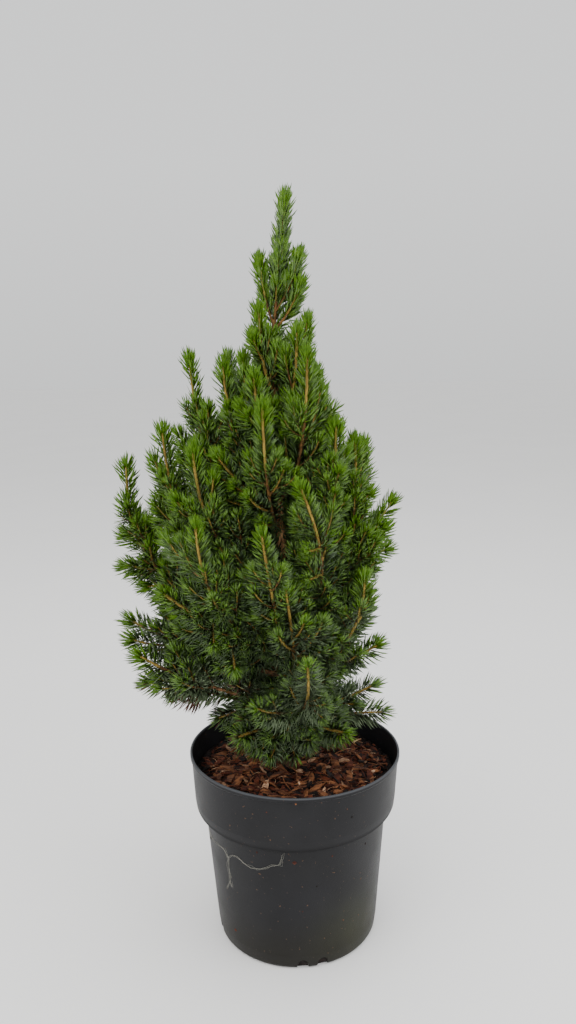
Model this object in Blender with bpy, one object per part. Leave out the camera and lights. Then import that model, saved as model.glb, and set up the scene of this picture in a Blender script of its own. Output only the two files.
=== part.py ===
"""A potted dwarf spruce: a nursery pot full of bark mulch, one trunk, its boughs and its masses of shoots.

The pot stands on z = 0 with its axis on the origin. The front is -Y, and an azimuth turns from the front
to the right.
Lengths are in millimetres in the tables and become metres in the code.
"""

import math
import random
from typing import NamedTuple

import bmesh
import bpy
import numpy as np
from mathutils import Vector

MM = 0.001
SEED = 19
CLEAR = 0.3 * MM  # gap between neighbouring solids that touch on the real plant

# Pot: a thin moulded container with a wide collar, a stepped shoulder and a rounded foot.
POT_HEIGHT = 174
POT_RIM_RADIUS = 95
POT_WALL = 1.8
POT_FLOOR = 2.4
POT_SIDES = 36
COLLAR_FOOT = (92, 133)
SHOULDER_FOOT = (83, 120)
BODY_FOOT = (74.4, 13)
FOOT_CORNER = (68, 0)
RIM_SQUEEZE = 1.6  # how far the thin rim is pressed in at the front left and the back right
RIM_SQUEEZE_AZIMUTH = 325
DRAIN_PAIRS = 4
DRAIN_AZIMUTH = 10
DRAIN_SPREAD = 7
DRAIN_SIZE = (14, 16, 5)  # along the foot, inwards, upwards

# Mulch: it fills the pot to a little below the rim and rises towards the trunk.
MULCH_EDGE = 152
MULCH_RISE = 3
MULCH_PAD = 14  # radius of the level ground that the trunk stands on

# Trunk: flared foot on the mulch, light lean to the left, fine tip where the leader's last shoot begins.
TRUNK_SIDES = 8
TRUNK_TIP = 545
TRUNK_FOOT_X = -4
TRUNK_LEAN = -7
TRUNK_SWAY = 1.6
TRUNK_RADII = ((0.0, 9.6), (0.03, 8.0), (0.12, 7.0), (0.5, 5.4), (0.8, 2.9), (1.0, 1.7))
TRUNK_RINGS = 14

# Boughs and shoots.
LIMB_SIDES = 5
LIMB_RINGS = 4
LIMB_SHARE = 0.4  # part of a bough's length that is bare limb before its mass begins
LIMB_RADII = (2.7, 1.8)
STEM_RADII = (1.8, 1.1)
FORK_RADII = (1.4, 0.9)
FORKS = 3  # on each mass's stem, the ones of its own and then others by rule
FORK_SHARES = (0.08, 0.5)
FORK_LENGTHS = (44, 26)
FORK_ANGLE = 40
TUFT = 10  # how far the last needles reach past the end of a stem, taken off the lengths in the table
FORK_SPACE = 12  # least distance between the outer halves of two shoots
GOLDEN_ANGLE = 137.5

# Needles: whorls of six broad teeth that stand out of the slim stems, larger than life and fewer.
NEEDLE = 15.5
NEEDLE_ANGLES = (50, 24)  # from the stem at the foot and at the tip of a shoot
WHORL_STEP = 9.9  # at most
NEEDLE_FOOT = 2.4  # half of a needle's thickness where it leaves the stem
NEEDLE_GAP = 0.5
NEEDLE_LENGTHS = (1.0, 0.72, 0.5)  # tried in turn where a neighbour is in the way
NEEDLE_SHARE = 0.8  # how many of the places for needles are used


class Bough(NamedTuple):
    """A bough and the mass of shoots at its end, by where its tip is and where it leaves the trunk."""

    name: str
    azimuth: float
    root: float
    reach: float
    tip: float
    bow: float = 1.0  # 0 is straight, 1 runs outwards first and then turns up
    swing: float = 0.0  # degrees by which the middle of the bough is carried round the trunk
    limb: bool = False  # whether a bare limb carries the mass
    forks: tuple = ()  # share of the stem, then azimuth, reach and height of the fork's tip


BOUGHS = (
    Bough("leader", 90, TRUNK_TIP, 2, 661, 0.0, 0, False,
          ((0.06, 272, 22, 612), (0.16, 68, 14, 615), (0.02, 61, 17, 592))),
    Bough("upper_left", 315, 496, 31, 572),
    Bough("upper_right", 16, 463, 31, 555, forks=((0.55, 62, 21, 563),)),
    Bough("right_spire", 20, 402, 47, 537, forks=((0.45, 44, 41, 507),)),
    Bough("front_left_spire", 330, 448, 53, 521),
    Bough("left_shoulder", 286, 424, 55, 529, forks=((0.4, 250, 54, 534), (0.3, 288, 38, 534))),
    Bough("front_spire", 343, 376, 68, 498),
    Bough("left_spire", 263, 350, 84, 533, 0.85, 6, True, ((0.12, 272, 96, 471), (0.04, 273, 96, 449))),
    Bough("left_outer", 272, 312, 107, 474, 1.0, 0, True,
          ((0.42, 268, 118, 449), (0.26, 268, 116, 416), (0.1, 269, 118, 401))),
    Bough("left_front_upper", 301, 330, 90, 462, limb=True),
    Bough("left_front_lower", 319, 276, 112, 409, 1.0, 0, True, ((0.55, 293, 115, 389),)),
    Bough("inner_left", 309, 392, 79, 456, 0.3),
    Bough("far_left", 262, 286, 144, 443, 1.25, 0, True,
          ((0.6, 265, 147, 412), (0.42, 267, 126, 392), (0.46, 264, 154, 377), (0.3, 270, 124, 373),
           (0.26, 266, 157, 346), (0.08, 267, 112, 356), (0.12, 268, 138, 326), (0.02, 267, 127, 316))),
    Bough("low_left_front", 303, 262, 130, 347, 0.2, 0, True, ((0.3, 322, 102, 294), (0.05, 332, 98, 274))),
    Bough("low_left", 271, 240, 150, 303, 0.3, 0, True, ((0.4, 281, 148, 293),)),
    Bough("low_left_rear", 287, 214, 143, 284, 0.3, 0, True),
    Bough("skirt_left", 280, 202, 138, 249, -0.3, 0, True),
    Bough("front_centre", 347, 256, 103, 404, 0.6, 6, True,
          ((0.3, 358, 88, 354), (0.12, 335, 77, 330), (0.5, 336, 83, 370))),
    Bough("front_right", 3, 292, 86, 437, 0.8, 38, True,
          ((0.4, 6, 94, 381), (0.12, 7, 89, 356), (0.25, 27, 68, 394))),
    Bough("front_low", 356, 228, 88, 358, 0.7, 10, True),
    Bough("skirt_front", 5, 208, 116, 303, 0.6, 6, forks=((0.3, 339, 98, 256),)),
    Bough("right_shoulder", 44, 338, 56, 480, limb=True),
    Bough("right_outer", 77, 290, 57, 464, 1.3, 0, True,
          ((0.58, 95, 66, 459), (0.48, 82, 73, 417), (0.2, 94, 94, 407), (0.08, 82, 87, 386),
           (0.02, 92, 92, 362))),
    Bough("right_front", 53, 248, 77, 354, 1.0, 0, True,
          ((0.05, 48, 52, 305), (0.45, 62, 77, 335), (0.12, 34, 72, 300))),
    Bough("right_low", 76, 240, 84, 282, 0.3,
          forks=((0.55, 59, 69, 280), (0.35, 61, 53, 259), (0.2, 68, 39, 267))),
    Bough("skirt_right", 97, 200, 82, 232, 0.2,
          forks=((0.1, 85, 90, 210), (0.3, 114, 62, 225), (0.5, 75, 63, 222))),
    Bough("skirt_front_right", 38, 198, 80, 214, 0.0),
    Bough("skirt_front_left", 322, 200, 86, 214, 0.0),
    Bough("skirt_foot", 342, 192, 72, 213, 0.0, forks=((0.1, 14, 72, 214),)),
    Bough("rear_spire", 150, 412, 52, 520),
    Bough("rear_left_spire", 212, 384, 70, 492),
    Bough("rear_right", 118, 324, 74, 446),
    Bough("rear_upper", 178, 342, 82, 452, limb=True),
    Bough("rear_left", 232, 268, 116, 396, 1.0, 0, True),
    Bough("rear_middle", 165, 252, 106, 372, 0.8, 0, True),
    Bough("rear_low_left", 214, 222, 122, 300, 0.4),
    Bough("rear_low_right", 132, 218, 104, 290, 0.4),
    Bough("skirt_rear", 176, 196, 104, 228, 0.2),
)


# Shared shapes

def clear_scene():
    for obj in list(bpy.data.objects):
        bpy.data.objects.remove(obj)


def material(name, colour, roughness):
    """A Principled material with a plain colour."""
    made = bpy.data.materials.new(name)
    made.use_nodes = True
    shader = made.node_tree.nodes["Principled BSDF"]
    shader.inputs["Base Color"].default_value = (*colour, 1.0)
    shader.inputs["Roughness"].default_value = roughness
    shader.inputs["Metallic"].default_value = 0.0
    return made


def mesh_object(name, points, faces, look):
    """A named object from points and faces."""
    mesh = bpy.data.meshes.new(name)
    mesh.from_pydata([tuple(p) for p in points], [], faces)
    mesh.materials.append(look)
    mesh.update()
    obj = bpy.data.objects.new(name, mesh)
    bpy.context.scene.collection.objects.link(obj)
    return obj


def smooth(obj):
    """Shades a round piece smooth, with its corners kept sharp."""
    obj.data.shade_smooth()
    obj.data.set_sharp_from_angle(angle=math.radians(35))


def around(azimuth, reach, height):
    """The point at an azimuth in degrees, with its reach and height in metres."""
    turn = math.radians(azimuth)
    return Vector((reach * math.sin(turn), -reach * math.cos(turn), height))


def loft(rings, start_pole=None, end_pole=None):
    """Points and faces of a skin over rings of equal count. Each end closes on a pole, or with a flat cap."""
    count = len(rings[0])
    points = [p for ring in rings for p in ring]
    faces = []
    for k in range(len(rings) - 1):
        for j in range(count):
            a, b = k * count + j, k * count + (j + 1) % count
            faces.append((a, b, b + count, a + count))
    last = (len(rings) - 1) * count
    if start_pole is None:
        faces.append(tuple(reversed(range(count))))
    else:
        points.append(start_pole)
        faces += [(len(points) - 1, (j + 1) % count, j) for j in range(count)]
    if end_pole is None:
        faces.append(tuple(range(last, last + count)))
    else:
        points.append(end_pole)
        faces += [(len(points) - 1, last + j, last + (j + 1) % count) for j in range(count)]
    return points, faces


# Pot and mulch

def pot_outline():
    """Radius and height down the outside of the pot, from the rim to the underside, in millimetres."""
    rim = POT_RIM_RADIUS
    return [
        (rim - 0.8, POT_HEIGHT),
        (rim, POT_HEIGHT - 0.9),
        (rim, POT_HEIGHT - 2.6),
        (rim - 1.1, POT_HEIGHT - 4.2),
        COLLAR_FOOT,
        (COLLAR_FOOT[0] - 0.9, COLLAR_FOOT[1] - 5),
        (COLLAR_FOOT[0] - 3.4, COLLAR_FOOT[1] - 10),
        SHOULDER_FOOT,
        BODY_FOOT,
        (BODY_FOOT[0] - 1.6, 5),
        (BODY_FOOT[0] - 3.6, 1.3),
        FOOT_CORNER,
    ]


def inside_outline(wall, floor):
    """Radius and height up the inside of a vessel with that wall and floor, from the floor to the rim."""
    outline = pot_outline()
    rising = [(r - wall, z) for r, z in (BODY_FOOT, SHOULDER_FOOT, *reversed(outline[4:7]))]
    return [(BODY_FOOT[0] - wall - 5, floor), (BODY_FOOT[0] - wall - 1.6, floor + 3)] + rising


def squeezed(radius, azimuth, height):
    """The radius of the thin wall there: the rim is a little out of round, the body is not."""
    share = max(0.0, (height - COLLAR_FOOT[1]) / (POT_HEIGHT - COLLAR_FOOT[1]))
    return radius - RIM_SQUEEZE * share * math.cos(2 * math.radians(azimuth - RIM_SQUEEZE_AZIMUTH))


def turned_rings(outline):
    """Rings about the pot's axis, one for each radius and height in millimetres."""
    rings = []
    for radius, height in outline:
        steps = [360 * k / POT_SIDES for k in range(POT_SIDES)]
        rings.append([around(a, squeezed(radius, a, height) * MM, height * MM) for a in steps])
    return rings


def drain_cutters():
    """Arched blocks that open the foot of the pot."""
    along, inwards, upwards = (side * MM for side in DRAIN_SIZE)
    pairs = [DRAIN_AZIMUTH + k * 360 / DRAIN_PAIRS for k in range(DRAIN_PAIRS)]
    made = []
    for azimuth in [pair + side * DRAIN_SPREAD for pair in pairs for side in (-1, 1)]:
        outer = around(azimuth, FOOT_CORNER[0] * MM + inwards * 0.5, 0)
        inner = around(azimuth, FOOT_CORNER[0] * MM - inwards * 0.3, 0)
        side = Vector((0, 0, 1)).cross(outer - inner).normalized()
        arch = [(-0.5, -1.0), (-0.5, 0.45), (-0.3, 0.9), (0.0, 1.0), (0.3, 0.9), (0.5, 0.45), (0.5, -1.0)]
        rings = [
            [centre + side * (u * along) + Vector((0, 0, w * upwards)) for u, w in arch]
            for centre in (outer, inner)
        ]
        points, faces = loft(rings)
        cutter = mesh_object("drain_cutter", points, faces, bpy.data.materials["pot_plastic"])
        recalculate_normals(cutter)
        made.append(cutter)
    return made


def recalculate_normals(obj):
    sheet = bmesh.new()
    sheet.from_mesh(obj.data)
    bmesh.ops.recalc_face_normals(sheet, faces=sheet.faces)
    sheet.to_mesh(obj.data)
    sheet.free()


def boolean_with(obj, others, operation):
    """Joins or cuts the object with a collection of others in one Boolean, applies it and removes them."""
    collection = bpy.data.collections.new(f"{obj.name}_others")
    bpy.context.scene.collection.children.link(collection)
    for other in others:
        bpy.context.scene.collection.objects.unlink(other)
        collection.objects.link(other)
    step = obj.modifiers.new("join", "BOOLEAN")
    step.operation = operation
    step.solver = "EXACT"
    step.operand_type = "COLLECTION"
    step.collection = collection
    graph = bpy.context.evaluated_depsgraph_get()
    joined = bpy.data.meshes.new_from_object(obj.evaluated_get(graph))
    obj.modifiers.clear()
    obj.data = joined
    for other in others:
        bpy.data.objects.remove(other)
    bpy.data.collections.remove(collection)


def make_pot(look):
    inside = inside_outline(POT_WALL, POT_FLOOR)
    outline = [*pot_outline()[::-1], (POT_RIM_RADIUS - POT_WALL - 0.2, POT_HEIGHT), *inside[::-1]]
    below, above = Vector((0, 0, 0)), Vector((0, 0, POT_FLOOR * MM))
    points, faces = loft(turned_rings(outline), below, above)
    pot = mesh_object("pot", points, faces, look)
    recalculate_normals(pot)
    boolean_with(pot, drain_cutters(), "DIFFERENCE")
    smooth(pot)


def mulch_height(radius):
    """Height of the mulch at a radius, in millimetres: level in the middle, falling gently to the wall."""
    edge = POT_RIM_RADIUS - POT_WALL
    share = min(1.0, max(0.0, (radius - MULCH_PAD) / (edge - MULCH_PAD)))
    return MULCH_EDGE + MULCH_RISE * (1 - share * share * (3 - 2 * share))


def make_mulch(look):
    gap = CLEAR / MM
    inside = inside_outline(POT_WALL + 1.5 * gap, POT_FLOOR + gap)
    inside = [p for p in inside if not SHOULDER_FOOT[1] < p[1] < COLLAR_FOOT[1]]
    share = (MULCH_EDGE - inside[-1][1]) / (POT_HEIGHT - inside[-1][1])
    wall_radius = inside[-1][0] + share * (POT_RIM_RADIUS - 1.1 - COLLAR_FOOT[0])
    top = [(radius, mulch_height(radius)) for radius in (wall_radius, 70, 46, MULCH_PAD)]
    centre = Vector((0, 0, mulch_height(0) * MM))
    below = Vector((0, 0, (POT_FLOOR + gap) * MM))
    points, faces = loft(turned_rings(inside + top), below, centre)
    mulch = mesh_object("mulch", points, faces, look)
    recalculate_normals(mulch)
    smooth(mulch)


# Trunk and limbs

def trunk_share(height):
    """How far up the trunk a height in millimetres is, from 0 at its foot to 1 at its tip."""
    foot = mulch_height(0)
    return (height - foot) / (TRUNK_TIP - foot)


def trunk_centre(height):
    """The middle of the trunk at a height in millimetres."""
    share = trunk_share(height)
    across = TRUNK_FOOT_X + TRUNK_LEAN * share + TRUNK_SWAY * math.sin(2 * math.pi * share)
    deep = TRUNK_SWAY * math.sin(1.5 * math.pi * share)
    return Vector((across, deep, height)) * MM


def trunk_radius(height):
    shares, radii = zip(*TRUNK_RADII)
    return float(np.interp(trunk_share(height), shares, radii)) * MM


def across(along, last=None):
    """A direction square to a line, as near as it can be to the last one there."""
    side = last or along.orthogonal()
    return (side - along * side.dot(along)).normalized()


def ring_across(centre, along, side, radius, sides, turn=0.0):
    """Points of a regular polygon about a line, the first one turned from a side by an angle in radians."""
    up = along.cross(side).normalized()
    angles = [turn + 2 * math.pi * j / sides for j in range(sides)]
    return [centre + (side * math.cos(a) + up * math.sin(a)) * radius for a in angles]


def make_trunk(look):
    foot = mulch_height(0) + CLEAR / MM
    rings = []
    for k in range(TRUNK_RINGS):
        share = (k / (TRUNK_RINGS - 1)) ** 1.35
        height = foot + (TRUNK_TIP - foot) * share
        turns = [2 * math.pi * j / TRUNK_SIDES for j in range(TRUNK_SIDES)]
        radius = trunk_radius(height)
        middle = trunk_centre(height)
        rings.append([middle + radius * Vector((math.cos(a), math.sin(a), 0)) for a in turns])
    points, faces = loft(rings)
    trunk = mesh_object("trunk", points, faces, look)
    recalculate_normals(trunk)
    smooth(trunk)


def bend(root, middle, tip, steps=40):
    """Points along the smooth curve from root to tip that leans towards middle."""
    shares = [k / steps for k in range(steps + 1)]
    return [root * (1 - t) ** 2 + middle * (2 * t * (1 - t)) + tip * t * t for t in shares]


def line_length(line):
    return sum((b - a).length for a, b in zip(line, line[1:]))


def along_line(line, distance):
    """The point and direction at a distance along a line."""
    for a, b in zip(line, line[1:]):
        step = (b - a).length
        if distance <= step:
            return a + (b - a) * (distance / step), (b - a).normalized()
        distance -= step
    return line[-1].copy(), (line[-1] - line[-2]).normalized()


def line_between(line, start, end, steps=24):
    """The same line from one distance to another."""
    return [along_line(line, start + (end - start) * k / steps)[0] for k in range(steps + 1)]


def bough_line(bough):
    """The line of a bough from the middle of the trunk to its tip."""
    root = trunk_centre(bough.root)
    tip = around(bough.azimuth, bough.reach * MM, bough.tip * MM)
    across = tip - root
    across.z = 0
    middle = root + across * (0.5 + 0.5 * bough.bow)
    middle.z = root.z + (tip.z - root.z) * (0.5 - 0.3 * bough.bow)
    turn = math.radians(bough.swing)
    offset = middle - root
    middle.x = root.x + offset.x * math.cos(turn) - offset.y * math.sin(turn)
    middle.y = root.y + offset.x * math.sin(turn) + offset.y * math.cos(turn)
    line = bend(root, middle, tip)
    whole = line_length(line) - TUFT * MM
    if bough.name == "leader":
        return line_between(line, CLEAR, whole)
    start = trunk_radius(bough.root) / math.cos(math.pi / TRUNK_SIDES) + CLEAR
    outwards = (along_line(line, start)[0] - root)
    while Vector((outwards.x, outwards.y, 0)).length < trunk_radius(bough.root) + CLEAR:
        start += 0.2 * MM
        outwards = along_line(line, start)[0] - trunk_centre(along_line(line, start)[0].z / MM)
    return line_between(line, start, whole)


def split_line(bough, line):
    """The bare limb's line, where there is one, and the line of the mass's stem after it."""
    if not bough.limb:
        return None, line
    whole = line_length(line)
    cut = whole * LIMB_SHARE
    return line_between(line, 0, cut), line_between(line, cut + CLEAR, whole)


def trunk_side(line):
    """The upright plane that faces the trunk where a line starts from it."""
    middle = trunk_centre(line[0].z / MM)
    outwards = line[0] - middle
    outwards.z = 0
    return line[0], outwards.normalized()


def onto_plane(ring, along, point, normal):
    """The ring slid along a direction on to a plane."""
    return [p + along * ((point - p).dot(normal) / along.dot(normal)) for p in ring]


def make_limb(name, line, look):
    """A bare limb with one taper, cut flat where it faces the trunk."""
    whole = line_length(line)
    side = None
    rings = []
    for k in range(LIMB_RINGS):
        share = k / (LIMB_RINGS - 1)
        centre, along = along_line(line, whole * share)
        side = across(along, side)
        radius = (LIMB_RADII[0] + (LIMB_RADII[1] - LIMB_RADII[0]) * share) * MM
        rings.append(ring_across(centre, along, side, radius, LIMB_SIDES))
    rings[0] = onto_plane(rings[0], along_line(line, 0)[1], *trunk_side(line))
    points, faces = loft(rings)
    limb = mesh_object(name, points, faces, look)
    recalculate_normals(limb)
    smooth(limb)


# How a mass branches

class Shoot(NamedTuple):
    """One needled shoot: its mass, its line, its radii in millimetres and whether it starts inside a stem."""

    mass: str
    line: list
    radii: tuple
    fork: bool


def samples(line, count=12):
    whole = line_length(line)
    return np.array([along_line(line, whole * k / count)[0] for k in range(count + 1)])


def has_room(line, others, space):
    """Whether the outer half of a line keeps its distance from the points of other lines."""
    outer = samples(line)[6:]
    gaps = np.linalg.norm(outer[:, None, :] - others[None, :, :], axis=2)
    return float(gaps.min()) > space


def fork_to(stem, share, tip, bow=0.7):
    """The line of a fork that leaves a stem at a share of its length for a tip of its own."""
    root, _ = along_line(stem, line_length(stem) * share)
    middle = root.lerp(tip, 0.5 + 0.25 * bow)
    middle.z = root.z + (tip.z - root.z) * (0.5 - 0.25 * bow)
    line = bend(root, middle, tip)
    return line_between(line, 0, line_length(line) - TUFT * MM)


def fork_by_rule(stem, share, turn, length):
    """The line of a fork that stands off its stem at the common angle and lifts towards the light."""
    root, along = along_line(stem, line_length(stem) * share)
    off = ring_across(Vector(), along, across(along), 1.0, 1, turn)[0]
    angle = math.radians(FORK_ANGLE)
    leave = along * math.cos(angle) + off * math.sin(angle)
    middle = root + leave * length * 0.55
    lift = Vector((0, 0, 0.2 * length))
    return bend(root, middle, root + leave * length * 0.85 + along * length * 0.15 + lift, 16)


def above_pot(line):
    """Whether a line clears the mulch and the rim."""
    lowest = min(p.z for p in line)
    return lowest > (POT_HEIGHT + 5) * MM


def rule_forks(stem, count, others, chance):
    """The forks that a stem gets by rule: each a golden turn on from the last, shorter towards the tip."""
    turn = chance.uniform(0, 360)
    size = min(1.0, line_length(stem.line) / (90 * MM))
    made = []
    for k in range(count):
        step = (k + 0.5) / count
        share = FORK_SHARES[0] + (FORK_SHARES[1] - FORK_SHARES[0]) * step
        length = FORK_LENGTHS[0] + (FORK_LENGTHS[1] - FORK_LENGTHS[0]) * step
        length *= chance.uniform(0.85, 1.1) * size
        for attempt in range(8):
            angle = math.radians(turn + GOLDEN_ANGLE * k + 45 * attempt)
            line = fork_by_rule(stem.line, share, angle, length * MM)
            near = np.concatenate(others + [samples(fork.line) for fork in made])
            if above_pot(line) and has_room(line, near, FORK_SPACE * MM):
                made.append(Shoot(stem.mass, line, FORK_RADII, True))
                break
    return made


def grow():
    """Every shoot of the crown in order, and the lines of the bare limbs."""
    chance = random.Random(SEED)
    limbs = {}
    shoots = []
    for bough in BOUGHS:
        limb, stem = split_line(bough, bough_line(bough))
        if limb:
            limbs[bough.name] = limb
        shoots.append(Shoot(bough.name, stem, STEM_RADII, False))
        for share, *tip in bough.forks:
            azimuth, reach, height = tip
            line = fork_to(stem, share, around(azimuth, reach * MM, height * MM))
            shoots.append(Shoot(bough.name, line, FORK_RADII, True))
    heights = np.linspace(mulch_height(0), TRUNK_TIP, 60)
    wood = [samples(limb) for limb in limbs.values()] + [np.array([trunk_centre(h) for h in heights])]
    for stem in [shoot for shoot in shoots if not shoot.fork]:
        count = FORKS + 1 - sum(shoot.mass == stem.mass for shoot in shoots)
        others = wood + [samples(shoot.line) for shoot in shoots if shoot is not stem]
        shoots += rule_forks(stem, max(0, count), others, chance)
    return shoots, limbs


# Needled solids

def whorl_marks(shoot):
    """Distances of the rings along a shoot. Each space between two rings after the first carries a whorl."""
    whole = line_length(shoot.line)
    start = (8 if shoot.fork else 5) * MM
    room = whole - start - 3.5 * MM
    count = max(1, math.ceil(room / (WHORL_STEP * MM)))
    return [(2.5 * MM if shoot.fork else 0.0)] + [start + room * k / count for k in range(count + 1)]


def core_of(shoot, chance):
    """Points and faces of the slim stem, and the needles it may bear as face, foot, way and length."""
    whole = line_length(shoot.line)
    points, faces, sites = [], [], []
    marks = whorl_marks(shoot)
    phase = chance.uniform(0, 2 * math.pi)
    side = None
    for k, distance in enumerate(marks):
        centre, along = along_line(shoot.line, distance)
        side = across(along, side)
        share = distance / whole
        radius = (shoot.radii[0] + (shoot.radii[1] - shoot.radii[0]) * share) * MM
        ring = ring_across(centre, along, side, radius, 3, phase + k * math.pi / 3)
        if k == 0 and starts_at_trunk(shoot):
            ring = onto_plane(ring, along, *trunk_side(shoot.line))
        points += ring
    for k, (start, end) in enumerate(zip(marks, marks[1:])):
        for j in range(3):
            a, b = 3 * k + j, 3 * k + (j + 1) % 3
            faces += [(a, b, a + 3), (a + 3, b, b + 3)]
            if k > 0:
                sites += [(len(faces) - 2, (2 * start + end) / 3), (len(faces) - 1, (start + 2 * end) / 3)]
    last = 3 * (len(marks) - 1)
    tip = len(points)
    points.append(shoot.line[-1])
    faces += [(last + j, last + (j + 1) % 3, tip) for j in range(3)]
    if shoot.fork:
        points.append(shoot.line[0])
        faces += [(tip + 1, (j + 1) % 3, j) for j in range(3)]
    else:
        faces.append((2, 1, 0))
    needles = []
    for face, distance in sites:
        if chance.random() > NEEDLE_SHARE:
            continue
        centre, along = along_line(shoot.line, distance)
        foot = sum((points[i] for i in faces[face]), Vector()) / 3
        off = foot - centre
        off = (off - along * off.dot(along)).normalized()
        angle = NEEDLE_ANGLES[0] + (NEEDLE_ANGLES[1] - NEEDLE_ANGLES[0]) * (distance / whole) ** 1.5
        angle = math.radians(angle + chance.uniform(-5, 5))
        way = along * math.cos(angle) + off * math.sin(angle)
        needles.append((face, foot, way, NEEDLE * MM * chance.uniform(0.88, 1.08)))
    return points, faces, needles


def starts_at_trunk(shoot):
    """Whether the shoot is a stem that leaves the side of the trunk with no bare limb between."""
    limbed = {bough.name for bough in BOUGHS if bough.limb}
    return not shoot.fork and shoot.mass != "leader" and shoot.mass not in limbed


def nearest_between(start, end, starts, ends):
    """Distances from one segment to many, and the shares along both where they are nearest."""
    d1, d2, r = end - start, ends - starts, start - starts
    a, e = d1 @ d1, np.einsum("ij,ij->i", d2, d2)
    f, c, b = np.einsum("ij,ij->i", d2, r), r @ d1, d2 @ d1
    lean = np.maximum(a * e - b * b, 1e-18)
    s = np.clip((b * f - c * e) / lean, 0, 1)
    t = np.clip((b * s + f) / e, 0, 1)
    s = np.clip((b * t - c) / a, 0, 1)
    apart = (start + s[:, None] * d1) - (starts + t[:, None] * d2)
    return np.linalg.norm(apart, axis=1), s, t


class Taken:
    """The segments that are already there: where they run, how thick their two ends are and whose they are."""

    def __init__(self, room):
        self.starts = np.zeros((room, 3))
        self.ends = np.zeros((room, 3))
        self.thick = np.zeros((room, 2))
        self.owner = np.zeros(room, int)
        self.count = 0

    def add(self, start, end, thick, owner):
        k = self.count
        self.starts[k], self.ends[k], self.thick[k], self.owner[k] = start, end, thick, owner
        self.count += 1

    def clear_of(self, start, end, foot, owner, gap):
        """Whether a needle that is as thick as foot at its start keeps its gap from what others own."""
        others = self.owner[:self.count] != owner
        starts, ends = self.starts[:self.count][others], self.ends[:self.count][others]
        apart, s, t = nearest_between(np.array(start), np.array(end), starts, ends)
        thick = self.thick[:self.count][others]
        theirs = thick[:, 0] * (1 - t) + thick[:, 1] * t
        return bool((apart > foot * (1 - s) + theirs + gap).all())


def line_segments(taken, line, radii, owner, pieces=8):
    """Adds the thick line of a stem, limb or trunk to what is there."""
    whole = line_length(line)
    for k in range(pieces):
        ends = [along_line(line, whole * (k + i) / pieces)[0] for i in (0, 1)]
        thick = [(radii[0] + (radii[1] - radii[0]) * (k + i) / pieces) * MM for i in (0, 1)]
        taken.add(*ends, tuple(thick), owner)


def clears_pot(point):
    """Whether a point is above the mulch and clear of the rim."""
    radius = math.hypot(point.x, point.y) / MM
    floor = POT_HEIGHT if radius > POT_RIM_RADIUS - 8 else mulch_height(radius)
    return point.z / MM > floor + 1.5


def choose_needles(shoots, cores, limbs, chance):
    """The needles of each shoot that have room, dealt in turn over the crown so that none is favoured."""
    order = [(owner, i) for owner, core in enumerate(cores) for i in range(len(core[2]))]
    chance.shuffle(order)
    taken = Taken(len(order) + 8 * (len(shoots) + len(limbs)) + 16)
    for owner, shoot in enumerate(shoots):
        line_segments(taken, shoot.line, shoot.radii, owner)
    for line in limbs.values():
        line_segments(taken, line, LIMB_RADII, -1)
    heights = [mulch_height(0) + (TRUNK_TIP - mulch_height(0)) * k / 16 for k in range(17)]
    for low, high in zip(heights, heights[1:]):
        thick = (trunk_radius(low), trunk_radius(high))
        taken.add(trunk_centre(low), trunk_centre(high), thick, -1)
    chosen = [[] for _ in shoots]
    for owner, i in order:
        face, foot, way, length = cores[owner][2][i]
        for share in NEEDLE_LENGTHS:
            tip = foot + way * (length * share)
            if clears_pot(tip) and taken.clear_of(foot, tip, NEEDLE_FOOT * MM, owner, NEEDLE_GAP * MM):
                chosen[owner].append((face, tip))
                taken.add(foot, tip, (NEEDLE_FOOT * MM, 0.0), owner)
                break
    return chosen


def needled_mesh(name, core, chosen, look):
    """The stem with each chosen face drawn out into a needle."""
    points, faces, _ = core
    points = list(points)
    drawn = {}
    for face, tip in chosen:
        drawn[face] = len(points)
        points.append(tip)
    made = []
    for index, face in enumerate(faces):
        if index in drawn:
            a, b, c = face
            made += [(a, b, drawn[index]), (b, c, drawn[index]), (c, a, drawn[index])]
        else:
            made.append(face)
    shoot = mesh_object(name, points, made, look)
    recalculate_normals(shoot)
    return shoot


def make_masses(shoots, limbs, look):
    chance = random.Random(SEED + 1)
    cores = [core_of(shoot, chance) for shoot in shoots]
    chosen = choose_needles(shoots, cores, limbs, chance)
    for bough in BOUGHS:
        own = [k for k, shoot in enumerate(shoots) if shoot.mass == bough.name]
        parts = [needled_mesh(f"{bough.name}_foliage" if not shoots[k].fork else f"{bough.name}_fork_{k}",
                              cores[k], chosen[k], look) for k in own]
        if len(parts) > 1:
            boolean_with(parts[0], parts[1:], "UNION")


def main():
    clear_scene()
    make_pot(material("pot_plastic", (0.045, 0.05, 0.055), 0.5))
    make_mulch(material("bark_mulch", (0.16, 0.07, 0.035), 0.95))
    bark = material("bark", (0.3, 0.16, 0.08), 0.85)
    make_trunk(bark)
    shoots, limbs = grow()
    for name, line in limbs.items():
        make_limb(f"{name}_bough", line, bark)
    make_masses(shoots, limbs, material("needles", (0.06, 0.16, 0.04), 0.6))


main()
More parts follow.
